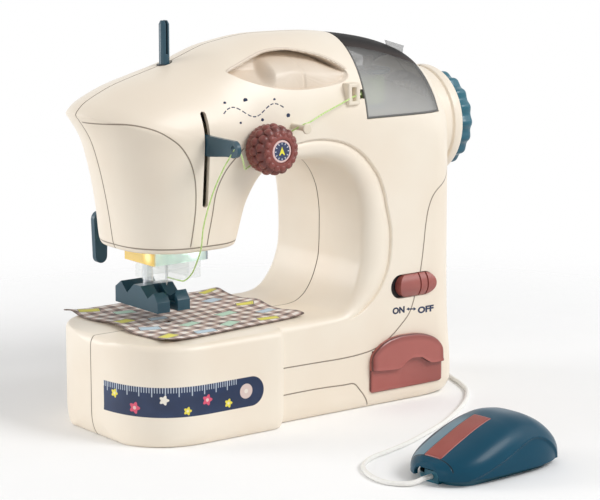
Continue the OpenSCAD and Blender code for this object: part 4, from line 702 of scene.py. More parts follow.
def smokeFinish(name, tab):
    # milky grey plastic, lighter low at the left; the crown is nearly black down to a slanting edge
    material, wire, shader = newMaterial(name, IOR=1.4, Coat_Roughness=0.06, Specular_IOR_Level=0.2)
    x, y, z = wire.place()
    streak = wire.noise(40.0, 2.0, stretch=(1, 1, 6))
    rise = ((z - 168.0) * 0.021 + (x - 50.0) * 0.0085).ramp(0.15, 1.15)
    shade = wire.mix(rise * 0.9 + 0.1 * streak, tone("dcdcd9"), tone("5c5a59"))
    bulge = (x - 77.0) * (x - 77.0) * -0.0029 + 1.9
    over = z - ((x - 51.4) * -0.28 + 207.6 + bulge)
    band = over.ramp(-0.5, 0.4) if not tab else over * 0.0
    rim = (abs(x - 77.0) - 25.6).ramp(0.0, 0.4).most((169.6 - z).ramp(0.0, 0.5) * (y < 0.0))
    color = wire.mix(band, shade, wire.mix(over.ramp(0.0, 5.0), tone("3a3331"), tone("131111")))
    color = wire.mix(rim * 0.8, color, tone("2a2928"))
    feed(wire, shader, Base_Color=color, Roughness=0.12 + 0.08 * streak + 0.4 * band, Coat_Weight=0.4 - 0.4 * band,
         Alpha=(0.46 - 0.12 * rise + 0.06 * streak).most(band * 0.96).most(rim * 0.9))
    return material


spoolCover = settle(buildLid(), "cover", "smoke_plastic", smokeFinish("smokePlastic", False), "spool_cover")
settle(buildTab(), "cover", "smoke_plastic", smokeFinish("smokeTab", True), "spool_cover")
print("smoke cover:", len(spoolCover.data.polygons), "faces")


# turned and softened pieces
def lathe(name, profile, axis, centre, around=160, wave=None, angle=40):
    # closed profile of (along, radius) carried round an axis; wave(along, turn) is added to the radius
    profile = np.asarray(profile, float)
    turn = np.linspace(0, 2 * math.pi, around, endpoint=False)[None]
    along = np.repeat(profile[:, :1], around, 1)
    radius = np.repeat(profile[:, 1:2], around, 1)
    if wave:
        radius = radius + wave(along, np.repeat(turn, len(profile), 0))
    flat = [along, centre[0] + radius * np.cos(turn), centre[1] + radius * np.sin(turn)]
    order = {"x": (0, 1, 2), "y": (1, 0, 2), "z": (1, 2, 0)}[axis]
    rings = np.stack([flat[k] for k in order], axis=-1)
    points = rings.reshape(-1, 3)
    faces = gridFaces(len(profile) + 1, around, True) % len(points)
    return newPiece(name, fillMesh(name, points, outward(points, [faces])), angle)


def soften(piece, width):  # rounds the edges sharper than 35 degrees
    soft = piece.modifiers.new("soft", "BEVEL")
    soft.width, soft.segments, soft.limit_method = width * mm, 3, "ANGLE"
    soft.angle_limit = math.radians(35)
    return piece


def softened(name, nodeName, width):  # merged copy of a node with its edges rounded
    mesh = nodes[nodeName].data.copy()
    mesh.name = name
    work = bmesh.new()
    work.from_mesh(mesh)
    bmesh.ops.remove_doubles(work, verts=work.verts, dist=1e-6)
    bmesh.ops.dissolve_limit(work, angle_limit=math.radians(1.2), verts=work.verts, edges=work.edges)
    work.to_mesh(mesh)
    work.free()
    return soften(newPiece(name, mesh, 40), width)


# hand wheel: waved rim, dished face with a raised hub
wheel = {"waves": 18, "swell": 0.9, "rim": 23, "fade": [[131.6, 0.3], [132.6, 1], [141, 1], [142.6, 0.4]],
         "profile": [[131.6, 3.05], [131.6, 24], [131.8, 26.4], [132.6, 27.8], [134, 28.7], [136.5, 29], [139, 28.8],
                     [140.8, 28.2], [142, 26.9], [142.5, 25.2], [142.6, 23.4], [142.2, 22.4], [141, 21.6],
                     [140.6, 19.5], [140.4, 14], [140.6, 10.4], [141.2, 9.2], [142.2, 8.6], [142.6, 7.6],
                     [142.6, 3.05]]}


def fairProfile(rows, perStep):  # smooth between the two points at the bore
    rows = np.array(rows)
    return np.vstack([rows[:1], easeThrough(rows[1:-1], perStep), rows[-1:]])


def buildWheel():
    profile, fade = fairProfile(wheel["profile"], 4), np.array(wheel["fade"])

    def rimWave(along, turn):  # scallops on the rim, which fade towards both faces
        share = np.interp(along, fade[:, 0], fade[:, 1]) * (profile[:, 1:2] > wheel["rim"])
        return -wheel["swell"] * (1 - np.cos(wheel["waves"] * turn)) * share

    return lathe("handWheel", profile, "x", (0, shaftZ), 288, rimWave)


settle(buildWheel(), "main_rotor", "teal_plastic", finishes["teal_plastic"], "handwheel")


# tension knob: fluted skirt, two rows of round bumps on the side and a ring of domes round the face
knob = {"x": -23, "z": 158.5, "count": 15, "domes": 9.4, "rows": [[-49.6, 12.7, 0.5, 2.5], [-54.5, 12.0, 0.0, 2.5]],
        "profile": [[-42.3, 3], [-42.3, 12.2], [-42.8, 12.9], [-44.5, 13.2], [-46.6, 13.0], [-50, 12.6], [-54, 12.0],
                    [-56.6, 11.2], [-58.2, 10.0], [-58.9, 8.8], [-59.2, 7.6], [-59.2, 6.8],
                    [-58.7, 6.55], [-58.2, 6.5], [-58.2, 3]]}


def knobWave(along, turn):  # shallow flutes on the skirt; each bump is the cap of an ellipsoid
    sector = 2 * math.pi / knob["count"]
    skirt = np.clip((along + 47.5) / 1.5, 0, 1) * np.clip((-42.6 - along) / 0.6, 0, 1)
    height = 0.3 * np.cos(2 * knob["count"] * turn) * skirt
    for y, r, phase, reach in knob["rows"]:
        off = ((turn - phase * sector + sector / 2) % sector - sector / 2) * r
        height = np.maximum(height, 1.8 * np.sqrt(np.clip(1 - ((along - y) / reach) ** 2 - (off / 2.5) ** 2, 0, 1)))
    return height


def buildKnob():
    body = lathe("tensionKnob", fairProfile(knob["profile"], 9), "y", (knob["x"], knob["z"]), 300, knobWave, 60)
    turn = (np.arange(knob["count"]) + 0.5) * 2 * math.pi / knob["count"]
    rows, cols = 8, 16  # grid of one dome
    up = np.linspace(0, math.pi / 2, rows)[:, None]
    spin = np.linspace(0, 2 * math.pi, cols, endpoint=False)[None]
    wide = 2.0 * np.cos(up)
    dome = np.stack([wide * np.cos(spin), -1.5 * np.sin(up) + 0 * spin, wide * np.sin(spin)], axis=-1)
    across, rise = knob["domes"] * np.cos(turn), knob["domes"] * np.sin(turn)
    middle = np.column_stack([knob["x"] + across, np.full(len(turn), -57.9), knob["z"] + rise])
    points = (middle[:, None, None] + dome[None]).reshape(-1, 3)
    first = np.arange(len(turn)) * rows * cols
    faces = (gridFaces(rows, cols, True)[None] + first[:, None, None]).reshape(-1, 4)
    return body, newPiece("knobDomes", fillMesh("knobDomes", points, [faces]), 60)


def knobPaint():  # red-brown, with painted shade between the bumps
    material, wire, shader = newMaterial("knobPlastic", Coat_Weight=0.1, Coat_Roughness=0.25)
    x, y, z = wire.place()
    away = distance(x - knob["x"], z - knob["z"])
    cloud, speck = wire.noise(70.0, 3.0), wire.noise(900.0)
    color = wire.mix(cloud, tone("8a453c"), tone("773831"))
    # painted shade: darker red-brown in the hollows between the bumps
    valleyShade = away.ramp(12.6, 13.6, 1.0, 0.0) * (y > -57.0)
    color = wire.mix(valleyShade * 0.45, color, tone("4c211d"))
    feed(wire, shader, Base_Color=color, Roughness=0.3 + 0.12 * cloud, Normal=wire.bump(speck, 0.2, 0.00002))
    return material


knobFinish = knobPaint()
for piece in buildKnob():
    settle(piece, "tension_dial", "red_brown_plastic", knobFinish, "tension_knob")


def facePaint():  # navy disc, pale rim, plain yellow pointer and small ticks
    material, wire, shader = newMaterial("dialPrint", Coat_Weight=0.4, Coat_Roughness=0.1)
    x, z = wire.place()[::2]
    dx, dz = x - knob["x"], z - knob["z"]
    away = distance(dx, dz)
    color = wire.mix(wire.noise(200.0), tone("22325a"), tone("1b2a4c"))
    ticks = abs((dx.heading(dz) * (6 / math.pi)) % 1.0 - 0.5).ramp(0.36, 0.42)
    ticks = ticks * away.ramp(3.7, 3.9) * away.ramp(4.7, 4.9, 1.0, 0.0)
    color = wire.mix(ticks, color, tone("d5dce6"))
    wedge = (abs(dx) - (2.6 - dz) * 0.42).ramp(-0.12, 0.12, 1.0, 0.0) * dz.ramp(-2.2, -2.0)
    notch = (abs(dx) - (-0.9 - dz) * 1.1).ramp(-0.12, 0.12, 1.0, 0.0)
    color = wire.mix(wedge * (1.0 - notch), color, tone("ece23a"))
    color = wire.mix(away.ramp(5.05, 5.25), color, tone("e9c9c4"))
    feed(wire, shader, Base_Color=color, Roughness=0.3 + 0.08 * wire.noise(120.0))
    return material


dialProfile = [[-57.6, 0.02], [-57.6, 6.2], [-58.3, 6.35], [-58.62, 6.2], [-58.76, 5.8], [-58.8, 5.0],
               [-58.82, 2.5], [-58.84, 0.02]]
dialFace = lathe("dialFace", dialProfile, "y", (knob["x"], knob["z"]), 96)
settle(dialFace, "tension_dial", "navy_face", facePaint(), "knob_face")
print("wheel and knob done")


# upper thread: spun strand in three lengths
thread = {"radius": 0.42,
          "spool": [[74.2, -3, 181], [62, -22, 181.4], [51.4, -33.6, 182], [46, -40.4, 182.4], [41, -40.8, 181.6],
                    [30, -43, 178.6], [16, -46, 175], [4, -49, 171.4], [-1, -50, 170.6], [-5, -46, 167.4],
                    [-7.4, -42.2, 164.6], [-10, -41.6, 162], [-17, -41.6, 158.5]],
          "slack": [[-29, -41.6, 151], [-34.6, -41.8, 148], [-37.6, -44.4, 148.4], [-43, -51, 151.6], [-51, -60, 158.6],
                    [-58, -66, 164]],
          "needle": [[-60, -66, 163.8], [-63, -60, 153], [-64, -51, 138], [-65, -44, 120], [-64, -40, 107],
                     [-60, -30, 97], [-56, -19, 88], [-57, -13.4, 83.4], [-58, -9, 83], [-60, -1, 83.6]]}


def threadFinish():  # fibres in two close tones
    material, wire, shader = newMaterial("spunThread", Roughness=0.7, Sheen_Weight=0.3)
    twist = wire.noise(900.0, 3.0, stretch=(1, 1, 0.4))
    color = wire.mix(twist.ramp(0.35, 0.65), tone("d3eba0"), tone("b3d777"))
    feed(wire, shader, Base_Color=color, Normal=wire.bump(twist, 0.5, 0.0001))
    return material


limeThread = threadFinish()
for key, node, body in (("spool", "thread_fixed", "casing"), ("slack", "thread_slack", "casing"),
                        ("needle", "thread_needle", "needle_carriage")):
    strand = tube(key + "Thread", evenly(roundThrough(thread[key], 12), 160), thread["radius"], 10)
    settle(strand, body, "thread", limeThread, node)


winding = {"low": 170.5, "high": 188.3, "radius": 9.1, "bore": 4.55, "pitch": 0.72, "middle": (84, 0)}


def buildWinding():  # reel of thread: ridges of the turns on a barrel that swells in the middle
    z = np.linspace(winding["low"], winding["high"], 320)
    swell = np.sin(np.pi * (z - winding["low"]) / (winding["high"] - winding["low"]))
    barrel = winding["radius"] + 0.9 * swell + 0.2 * np.cos(2 * np.pi * z / winding["pitch"])
    ends = [[[winding[end], winding["bore"]]] for end in ("low", "high")]
    return lathe("woundThread", np.vstack([ends[0], np.column_stack([z, barrel]), ends[1]]), "z", winding["middle"], 96)


settle(buildWinding(), "spool", "thread", limeThread, "spool_thread")
print("thread done")


# cloth sample: woven check with plain patches, laid over the bed and a little over its rear edge
cloth = {"left": -90, "front": -43, "width": 102, "length": 106, "thick": 0.7, "pitch": 8.5, "yarn": 0.55,
         "yellow": "e8e02e", "blue": "bcd4e6", "green": "bfe5cf",
         "patches": [  # middle, width, height, turn and colour
             [9, 12, 13, 8, 20, "yellow"], [33, 8, 14, 7, -8, "blue"], [55, 14, 13, 8, 25, "green"],
             [80, 9, 14, 7, -12, "yellow"], [92, 26, 13, 7, 10, "blue"], [14, 34, 13, 8, -20, "blue"],
             [38, 28, 13, 7, 15, "green"], [70, 36, 14, 8, 12, "green"], [10, 58, 13, 8, 14, "yellow"],
             [92, 50, 12, 7, -24, "yellow"], [30, 52, 12, 7, -6, "blue"], [84, 72, 13, 8, 18, "blue"],
             [26, 78, 13, 8, -12, "green"], [54, 74, 13, 7, 22, "yellow"], [10, 94, 14, 8, -16, "yellow"],
             [42, 96, 13, 8, 8, "blue"], [70, 94, 14, 8, -10, "green"], [94, 94, 12, 7, 16, "yellow"]]}


def clothHeight(x, y):  # lies on the bed, lifts in soft waves near its free edges, hangs at the rear
    left, right = np.clip((-74 - x) / 16, 0, 1), np.clip((x + 2) / 14, 0, 1)
    front = np.clip((-30 - y) / 13, 0, 1)
    wave = 0.9 * left ** 2 * (1 + np.sin(0.11 * y + 0.6)) + 0.8 * right ** 2 * (1 + np.sin(0.16 * y))
    wave = wave + 0.5 * front ** 2 * (1 + np.sin(0.13 * x))
    rear = 0.35 * (1 + np.sin(np.radians(9 * y + 40))) * np.clip((y - 36) / 30, 0, None) ** 2
    return bodySize["bed"] + 0.15 + wave + rear - 0.012 * np.clip(y - 52, 0, None) ** 2


def buildCloth(count=150):
    u, v = np.meshgrid(np.linspace(0, 1, count), np.linspace(0, 1, count), indexing="ij")
    x = cloth["left"] + cloth["width"] * u + 1.2 * np.sin(np.radians(70 * 12 * v))
    y = cloth["front"] + cloth["length"] * v + 0.1 * cloth["width"] * u * (1 - v)
    points = np.stack([x, y, clothHeight(x, y)], axis=-1).reshape(-1, 3)
    faces = gridFaces(count, count, False)
    middle = points[faces].mean(1)
    faces = faces[np.hypot(middle[:, 0] - needleX, middle[:, 1]) > 2.3]  # the needle has pierced the cloth
    mesh = fillMesh("checkedCloth", points, [faces])
    layer = mesh.uv_layers.new(name="weave")
    corner = np.zeros(len(mesh.loops), np.int32)
    mesh.loops.foreach_get("vertex_index", corner)
    weave = np.stack([u.ravel()[corner], v.ravel()[corner]], axis=-1)
    layer.data.foreach_set("uv", weave.astype(np.float32).ravel())
    piece = newPiece("checkedCloth", mesh, 60)
    if normals(piece)[:, 2].mean() < 0:
        mesh.flip_normals()
    thick = piece.modifiers.new("thick", "SOLIDIFY")
    thick.thickness, thick.offset = cloth["thick"] * mm, 1
    return piece


def clothFinish():
    material, wire, shader = newMaterial("wovenCheck", Roughness=0.85, Sheen_Weight=0.25, Sheen_Roughness=0.5)
    u, v = wire.node("UVMap", {"uv_map": "weave"}).axes()[:2]
    u, v = u * cloth["width"], v * cloth["length"]
    bands = [abs((axis % cloth["pitch"]) / cloth["pitch"] - 0.5).ramp(0.23, 0.27) for axis in (u, v)]
    both = bands[0] * 0.5 + bands[1] * 0.5
    stops = [(0.0, tone("f6f0ea")), (0.5, tone("bda297")), (1.0, tone("5d433b"))]
    color = wire.node("ValToRGB", {"stops": stops}, {"Fac": both})
    for cx, cy, w, h, turn, code in cloth["patches"]:
        c, s = math.cos(math.radians(turn)), math.sin(math.radians(turn))
        du, dv = u - cx, v - cy
        edge = (abs(du * c + dv * s) - w / 2).most(abs(dv * c - du * s) - h / 2)
        color = wire.mix(edge.ramp(-0.1, 0.1, 1.0, 0.0), color, tone("4b4038"))
        color = wire.mix((edge + 0.45).ramp(-0.1, 0.1, 1.0, 0.0), color, tone(cloth[code]))
        color = wire.mix(abs(edge + 1.4).ramp(0.12, 0.24, 0.5, 0.0), color, tone("8a8f7a"))
    border = u.least(v).least(cloth["width"] - u).least(cloth["length"] - v).ramp(0.35, 0.6, 0.8, 0.0)
    color = wire.mix(border, color, tone("57483f"))
    yarns = 2 * math.pi / cloth["yarn"]
    yarn = (u * yarns).sine() * (v * yarns).sine()
    fuzz = wire.noise(1500.0, 2.0)
    color = wire.mix((yarn * 0.5 + 0.5) * 0.1 + fuzz * 0.06, color, tone("8d7f76"))
    feed(wire, shader, Base_Color=color, Normal=wire.bump(yarn + fuzz, 0.35, 0.00012))
    return material


checkedCloth = settle(buildCloth(), "casing", "cloth", clothFinish(), "cloth")
print("cloth done")


# cord from the pedal to the socket in the right end
cordSize = {"diameter": 2.6, "route": [
    [-17, -183.2, 3.4], [-25, -183.8, 3.2], [-31, -183.6, 2.2], [-36, -181, 1.6], [-41, -173, 1.4], [-41, -162, 1.4],
    [-37, -150, 1.4], [-30, -140, 1.4], [-18, -132, 1.4], [-2, -127, 1.4], [16, -121, 1.4], [36, -112, 1.4],
    [58, -101, 1.4], [80, -87, 1.4], [102, -70, 1.4], [118, -53, 1.4], [127, -36, 1.4], [133, -20, 1.4],
    [139, -6, 2.4], [144, 5, 6], [144, 12, 10.4], [140, 15, 12], [134, 15, 12]]}


def cordFinish():  # soft white jacket with a faint grain
    material, wire, shader = newMaterial("whiteCord", Coat_Weight=0.05)
    speck = wire.noise(500.0, 3.0)
    feed(wire, shader, Base_Color=wire.mix(speck, tone("f4f3ef"), tone("e6e4de")), Roughness=0.42 + 0.15 * speck,
         Normal=wire.bump(speck, 0.15, 0.00003))
    return material


whiteCord = cordFinish()
cordPlug = settle(softened("cordPlug", "cord_plug", 0.5), "casing", "white_cord", whiteCord, "cord_plug")
cordPath = evenly(roundThrough(cordSize["route"], 10), 260)
pedalCord = settle(tube("pedalCord", cordPath, cordSize["diameter"] / 2, 16), "casing", "white_cord", whiteCord, "cord")


# pedal in the shape of a computer mouse: low nose, high round back
pedal = {"x": 19, "y": -180, "turn": 5, "length": 88, "width": 54, "low": 3.4,
         "top": [[0, 10.6], [0.06, 13.6], [0.14, 17], [0.25, 21.2], [0.38, 25.8], [0.5, 28.8], [0.6, 29.9], [0.7, 29],
                 [0.8, 25.6], [0.9, 19], [0.96, 13], [1, 8]],
         "arc": [[-40, 1], [-27, 5], [-12, 10.4], [0, 15], [9, 18], [15, 18.6], [22, 16.6], [29, 11.6], [34, 6],
                 [38, -2]],
         "mouth": [[-9, 0], [-9, 5.4], [-7.6, 7.4], [-5, 8.4], [5, 8.4], [7.6, 7.4], [9, 5.4], [9, 0]],
         "strip": [-38.5, -1], "bulge": 0.7, "dome": 0.75,
         "posts": [[-4.9, -182.1, 2.5, 7, 14.6], [19, -180, 6, 12.5, 26.4], [42.9, -177.9, 2.5, 7, 19.6]]}
pedalCos, pedalSin = math.cos(math.radians(pedal["turn"])), math.sin(math.radians(pedal["turn"]))


def pedalTop(t):  # height of the ridge along the pedal, a smooth curve through the table
    fine = easeThrough(pedal["top"], 20)
    return np.interp(t, fine[:, 0], fine[:, 1])


def pedalHalf(t):
    return pedal["width"] / 2 * (1 - np.abs(2 * t - 1) ** 3.4) ** 0.42 * (0.9 + 0.1 * t)


def pedalRings(t, turn, inset, low):  # superellipse sections from nose to tail, in the pedal's own frame
    t, turn = t[:, None], turn[None]
    half, top = np.maximum(pedalHalf(t) - inset, 0.8), pedalTop(t) - inset
    x = (t - 0.5) * (pedal["length"] - 2 * inset) + 0 * turn
    y = -half * np.abs(np.cos(turn)) ** pedal["bulge"] * np.sign(np.cos(turn))
    z = low + 1 + (top - low - 1) * np.sin(turn) ** pedal["dome"]
    rings = np.stack([x, y, z], axis=-1)
    foot = [np.stack([x[:, k], y[:, k], np.full(len(t), float(low))], axis=-1)[:, None] for k in (0, -1)]
    return np.concatenate([foot[0], rings, foot[1]], axis=1)


def toTable(points):  # pedal's own frame to its place on the table
    x, y, z = points[..., 0], points[..., 1], points[..., 2]
    return np.stack([pedal["x"] + pedalCos * x - pedalSin * y, pedal["y"] + pedalSin * x + pedalCos * y, z], axis=-1)


def buildPedal():
    t = 0.012 + 0.976 * (0.5 - 0.5 * np.cos(np.pi * np.linspace(0, 1, 170)))
    turn = np.linspace(0, np.pi, 121)
    rings = pedalRings(t, turn, 0, pedal["low"])
    flat = rings.reshape(-1, 3)
    signed = lineField(flat[:, 0], flat[:, 2], roundThrough(pedal["arc"], 8))[0]  # the sides step in under this arc
    under = np.clip(0.5 - signed / 1.6, 0, 1)
    under = under * under * (3 - 2 * under)
    ridge = np.exp(-(signed / 1.5) ** 2)
    flat[:, 1] *= 1 - 0.055 * under + 0.012 * ridge
    cover = ringSolid("pedalCover", toTable(flat.reshape(rings.shape)), 40)
    combine(cover, ringSolid("pedalRoom", toTable(pedalRings(t, np.linspace(0, np.pi, 41), 2, 2.0))), "DIFFERENCE")
    mouth = np.stack([np.column_stack([np.full(8, x), pedal["mouth"]]) for x in (-50.0, -36.0)])
    combine(cover, ringSolid("mouth", toTable(mouth)), "DIFFERENCE")
    return resharpen(cover, 40)


def pedalLocal(piece):  # vertex places in the pedal's own frame
    p = places(piece) - [pedal["x"], pedal["y"], 0]
    return pedalCos * p[:, 0] + pedalSin * p[:, 1], pedalCos * p[:, 1] - pedalSin * p[:, 0], p[:, 2]


def pedalFinish():  # teal gloss; the button gaps are dark grooves; the far button carries a painted reflection
    material, wire, shader = newMaterial("pedalTeal", Coat_Weight=0.03, Coat_Roughness=0.1, Specular_IOR_Level=0.18)
    x, y = wire.attribute("pedalX"), wire.attribute("pedalY")
    cloud, speck = wire.noise(40.0, 3.0), wire.noise(900.0)
    color = wire.mix(cloud, tone("06465d"), tone("053b50"))
    # painted reflection: the far button lighter and grey-blue, as teal catches the light at a grazing angle
    far = y.ramp(6.2, 6.5) * y.ramp(15.0, 15.4, 1.0, 0.0) * x.ramp(-38.5, -38.0) * x.ramp(-12.0, 4.0, 1.0, 0.0)
    color = wire.mix(far * 0.7, color, tone("7f9aa8"))
    gap = abs(y - 15.2).ramp(0.1, 0.4, 1.0, 0.0) * x.ramp(-39.0, -38.4) * x.ramp(-2.0, 2.0, 1.0, 0.0)
    gap = gap.most(abs(x + 38.6).ramp(0.1, 0.4, 1.0, 0.0) * abs(y).ramp(15.2, 15.5, 1.0, 0.0))
    gap = gap.most(abs(y - 6.3).ramp(0.1, 0.35, 0.8, 0.0) * x.ramp(-39.0, -38.4) * x.ramp(-2.0, 2.0, 1.0, 0.0))
    gap = gap * (wire.attribute("pedalZ") > 8.0)
    color = wire.mix(gap, color, tone("0c2630"))
    feed(wire, shader, Base_Color=color, Roughness=0.26 + 0.1 * cloud,
         Normal=wire.bump(1.0 - gap, 0.6, 0.0004, wire.bump(speck, 0.15, 0.00002)))
    return material


def buildStrip():  # inlaid strip, the pedal's own curve lifted by its thickness
    first, last = (0.5 + end / pedal["length"] for end in pedal["strip"])
    count = 90
    t, across = np.linspace(first, last, count)[:, None], np.linspace(-1, 1, 31)[None]
    y = np.interp(t, [first, first + 0.012, last], [5.6, 6.2, 6.0]) * across
    side = np.clip(np.abs(y) / np.maximum(pedalHalf(t), 1), 0, 0.999) ** (1 / pedal["bulge"])
    z = pedal["low"] + 1 + (pedalTop(t) - pedal["low"] - 1) * np.sqrt(1 - side ** 2) ** pedal["dome"]
    number = np.arange(count)[:, None]
    ends = np.clip(np.minimum(number, count - 1 - number) / 2.0, 0, 1)
    rim = np.clip((1 - np.abs(across)) / 0.12, 0, 1)
    lift = 0.5 * np.sqrt(np.minimum(ends, rim))
    x = (t - 0.5) * pedal["length"] + 0 * y
    top = np.stack([x, y, z + lift], axis=-1)
    under = np.stack([x, y, z - 0.4], axis=-1)[:, ::-1]
    return ringSolid("pedalStrip", toTable(np.concatenate([top, under], axis=1)), 60)


pedalCover = buildPedal()
for name, values in zip(("pedalX", "pedalY", "pedalZ"), pedalLocal(pedalCover)):
    mark(pedalCover, name, values)
settle(pedalCover, "pedal_top", "teal_plastic", pedalFinish(), "pedal_cover")
for number, (x, y, r, low, high) in enumerate(pedal["posts"]):
    post = prism("pedalPost" + str(number), circle(x, y, r, 48), "z", low, high)
    if r > 3:  # the spring enters the middle post
        combine(post, prism("postRoom", circle(x, y, r - 1.2, 48), "z", low - 1, low + 4), "DIFFERENCE")
    settle(post, "pedal_top", "teal_plastic", finishes["teal_plastic"], "pedal_guides")
stripFinish = mouldedPlastic("stripPlastic", "9c4a42", "8b403a", 0.34)
settle(buildStrip(), "pedal_top", "red_brown_plastic", stripFinish, "pedal_strip")
print("pedal done")


# lamp block, guard and lamps
clearPlastic = {"Roughness": 0.08, "IOR": 1.45, "Coat_Weight": 0.4}


def clearFinish():
    material, wire, shader = newMaterial("clearGuard", **clearPlastic)
    flow = wire.noise(120.0)
    feed(wire, shader, Base_Color=wire.mix(flow, tone("dfe9e8"), tone("ffffff")), Alpha=0.16 + 0.08 * flow)
    return material


def glowFinish():  # clear plastic with a painted glow standing in for the light of the lamps inside, warm at its left and cool at its right
    material, wire, shader = newMaterial("glowingClear", Emission_Strength=0.9, **clearPlastic)
    x, y, z = wire.place()
    side, far = x.ramp(-78.2, -76.6, 1.0, 0.0), x.ramp(-44.4, -42.4)
    warm, cool = distance(x + 78.5, y + 9.0, z - 98.6), distance(x + 51.0, y + 15.0, z - 99.2)
    # base colour painted with the glow too: yellow on the left face, darker blue-grey at the right end
    color = wire.mix(side, wire.mix(far, tone("cfe4d9"), tone("77849c")), tone("d6b04a"))
    light = wire.mix(side, (0.62, 0.86, 0.78, 1), (0.78, 0.52, 0.1, 1))
    power = warm.ramp(0.5, 7.0, 1.0, 0.0).most(cool.ramp(1.0, 9.0, 1.0, 0.0))
    bright = wire.mix(side, (0.9, 1.0, 1.0, 1), (1.0, 0.86, 0.5, 1))
    glow = wire.mix(power * power, wire.mix(0.3 - 0.3 * far, (0, 0, 0, 1), light), bright)
    feed(wire, shader, Base_Color=color, Emission_Color=glow,
         Alpha=(0.6 + 0.2 * side + 0.3 * power + 0.1 * wire.noise(120.0)).least(1.0))
    return material


lampSize = {"foot": [-78.5, -41.5, -15, 15.4], "low": 94, "neck": [-74.5, -45.5, -13, 13], "high": 106, "step": 102.9,
            "bores": [[-70, 5], [-50, -5]]}


def buildLampBlock():  # broad foot under the head, a neck inside it, the needle's way and two lamp bores
    solid = prism("lampBlock", roundBlock(*lampSize["foot"], 1.6), "z", lampSize["low"], lampSize["step"])
    combine(solid, prism("neck", block(*lampSize["neck"]), "z", lampSize["step"] - 2, lampSize["high"]), "UNION")
    combine(solid, prism("needleWay", circle(needleX, 0, 4.6, 48), "z", 90, 110), "DIFFERENCE")
    for x, y in lampSize["bores"]:
        combine(solid, prism("lampBore", circle(x, y, 2.7, 32), "z", 95.5, 110), "DIFFERENCE")
    return soften(solid, 0.6)


settle(buildLampBlock(), "casing", "clear_plastic", glowFinish(), "lamp_block")
settle(softened("needleGuard", "needle_guard", 0.5), "casing", "clear_plastic", clearFinish(), "needle_guard")


def lampGlow():
    material, wire, shader = newMaterial("lampGlow", Emission_Strength=4.0)
    right = wire.place()[0].ramp(needleX - 2.0, needleX + 2.0)
    feed(wire, shader, Base_Color=wire.mix(wire.noise(200.0), tone("fff2c4"), tone("ffffff")),
         Emission_Color=wire.mix(right, (1.0, 0.76, 0.3, 1), (0.9, 1.0, 1.0, 1)))
    return material


finishes["lamp_glow"] = lampGlow()
finishes["pinkBrown"] = mouldedPlastic("drawerPlastic", "a35a52", "94504a", 0.26, coat=0.2)
finishes["darkTeal"] = mouldedPlastic("darkTealPlastic", "234a5a", "1c4050", 0.3)

# pieces whose edges are rounded over the solid
for name, node, width, body, slotName, finish in (
        ("presserFoot", "presser_foot", 0.5, "presser", "teal_plastic", "darkTeal"),
        ("takeupLever", "takeup_lever", 0.4, "needle_carriage", "teal_plastic", "darkTeal"),
        ("lifterPaddle", "lifter_lever", 0.7, "lifter", "teal_plastic", "darkTeal"),
        ("reelPin", "spool_pin", 0.35, "reel_pin", "teal_plastic", "darkTeal"),
        ("threadLoop", "thread_guide", 0.8, "casing", "pale_plastic", "pale_plastic"),
        ("threadPeg", "thread_peg", 0.6, "casing", "pale_plastic", "pale_plastic"),
        ("switchSlider", "switch_slider", 0.5, "switch", "red_brown_plastic", "pinkBrown"),
        ("reel", "thread_spool", 0.4, "spool", "teal_plastic", "teal_plastic"),
        ("spoolTray", "spool_tray", 0.4, "casing", "cream_inner", "cream_inner"),
        ("needleClamp", "needle_clamp", 0.25, "needle_carriage", "steel", "steel"),
        ("bedPlate", "needle_plate", 0.25, "casing", "steel", "steel")):
    settle(softened(name, node, width), body, slotName, finishes[finish], node)
print("softened pieces done")


# drawer: arched front in two levels with a wavy finger edge, and its tray
drawerSize = {"left": 49.2, "right": 103.2, "low": 8.7, "back": -46.2,
              "corner": 2.6, "levels": (1.5, 2.6, 3.4),
              "top": [[49.2, 27.6], [50.2, 31.2], [53.4, 34.6], [58, 37.6], [64, 39.6], [72, 40.6], [80, 40.4],
                      [88, 39.2], [94.6, 37], [99.4, 33.8], [102.2, 30], [103.2, 25.6]],
              "wave": [[49.2, 22.6], [58, 21.8], [67, 21.2], [70.4, 21.8], [74, 24.4], [79, 26.3], [85, 25.8],
                       [89.6, 23.4], [93, 21.6], [97, 21.2], [103.2, 21.4]]}


def slab(name, front, back, angle=40):  # closed solid between two equal grids
    rows, cols = front.shape[:2]
    points = np.concatenate([front.reshape(-1, 3), back.reshape(-1, 3)])
    face = gridFaces(rows, cols, False)
    index = np.arange(rows * cols).reshape(rows, cols)
    rim = np.concatenate([index[0, :-1], index[:-1, -1], index[-1, :0:-1], index[:0:-1, 0]])
    nextRim, under = np.roll(rim, -1), rows * cols
    side = np.stack([rim, nextRim, nextRim + under, rim + under], axis=-1)
    faces = np.concatenate([face, face[:, ::-1] + under, side[:, ::-1]])
    return newPiece(name, fillMesh(name, points, outward(points, [faces])), angle)


def drawerEdges(x):  # distance to the nearer side, height of the arch and of the wavy line
    arch, wavy = easeThrough(drawerSize["top"], 12), easeThrough(drawerSize["wave"], 12)
    side = np.minimum(x - drawerSize["left"], drawerSize["right"] - x)
    return side, np.interp(x, arch[:, 0], arch[:, 1]), np.interp(x, wavy[:, 0], wavy[:, 1])


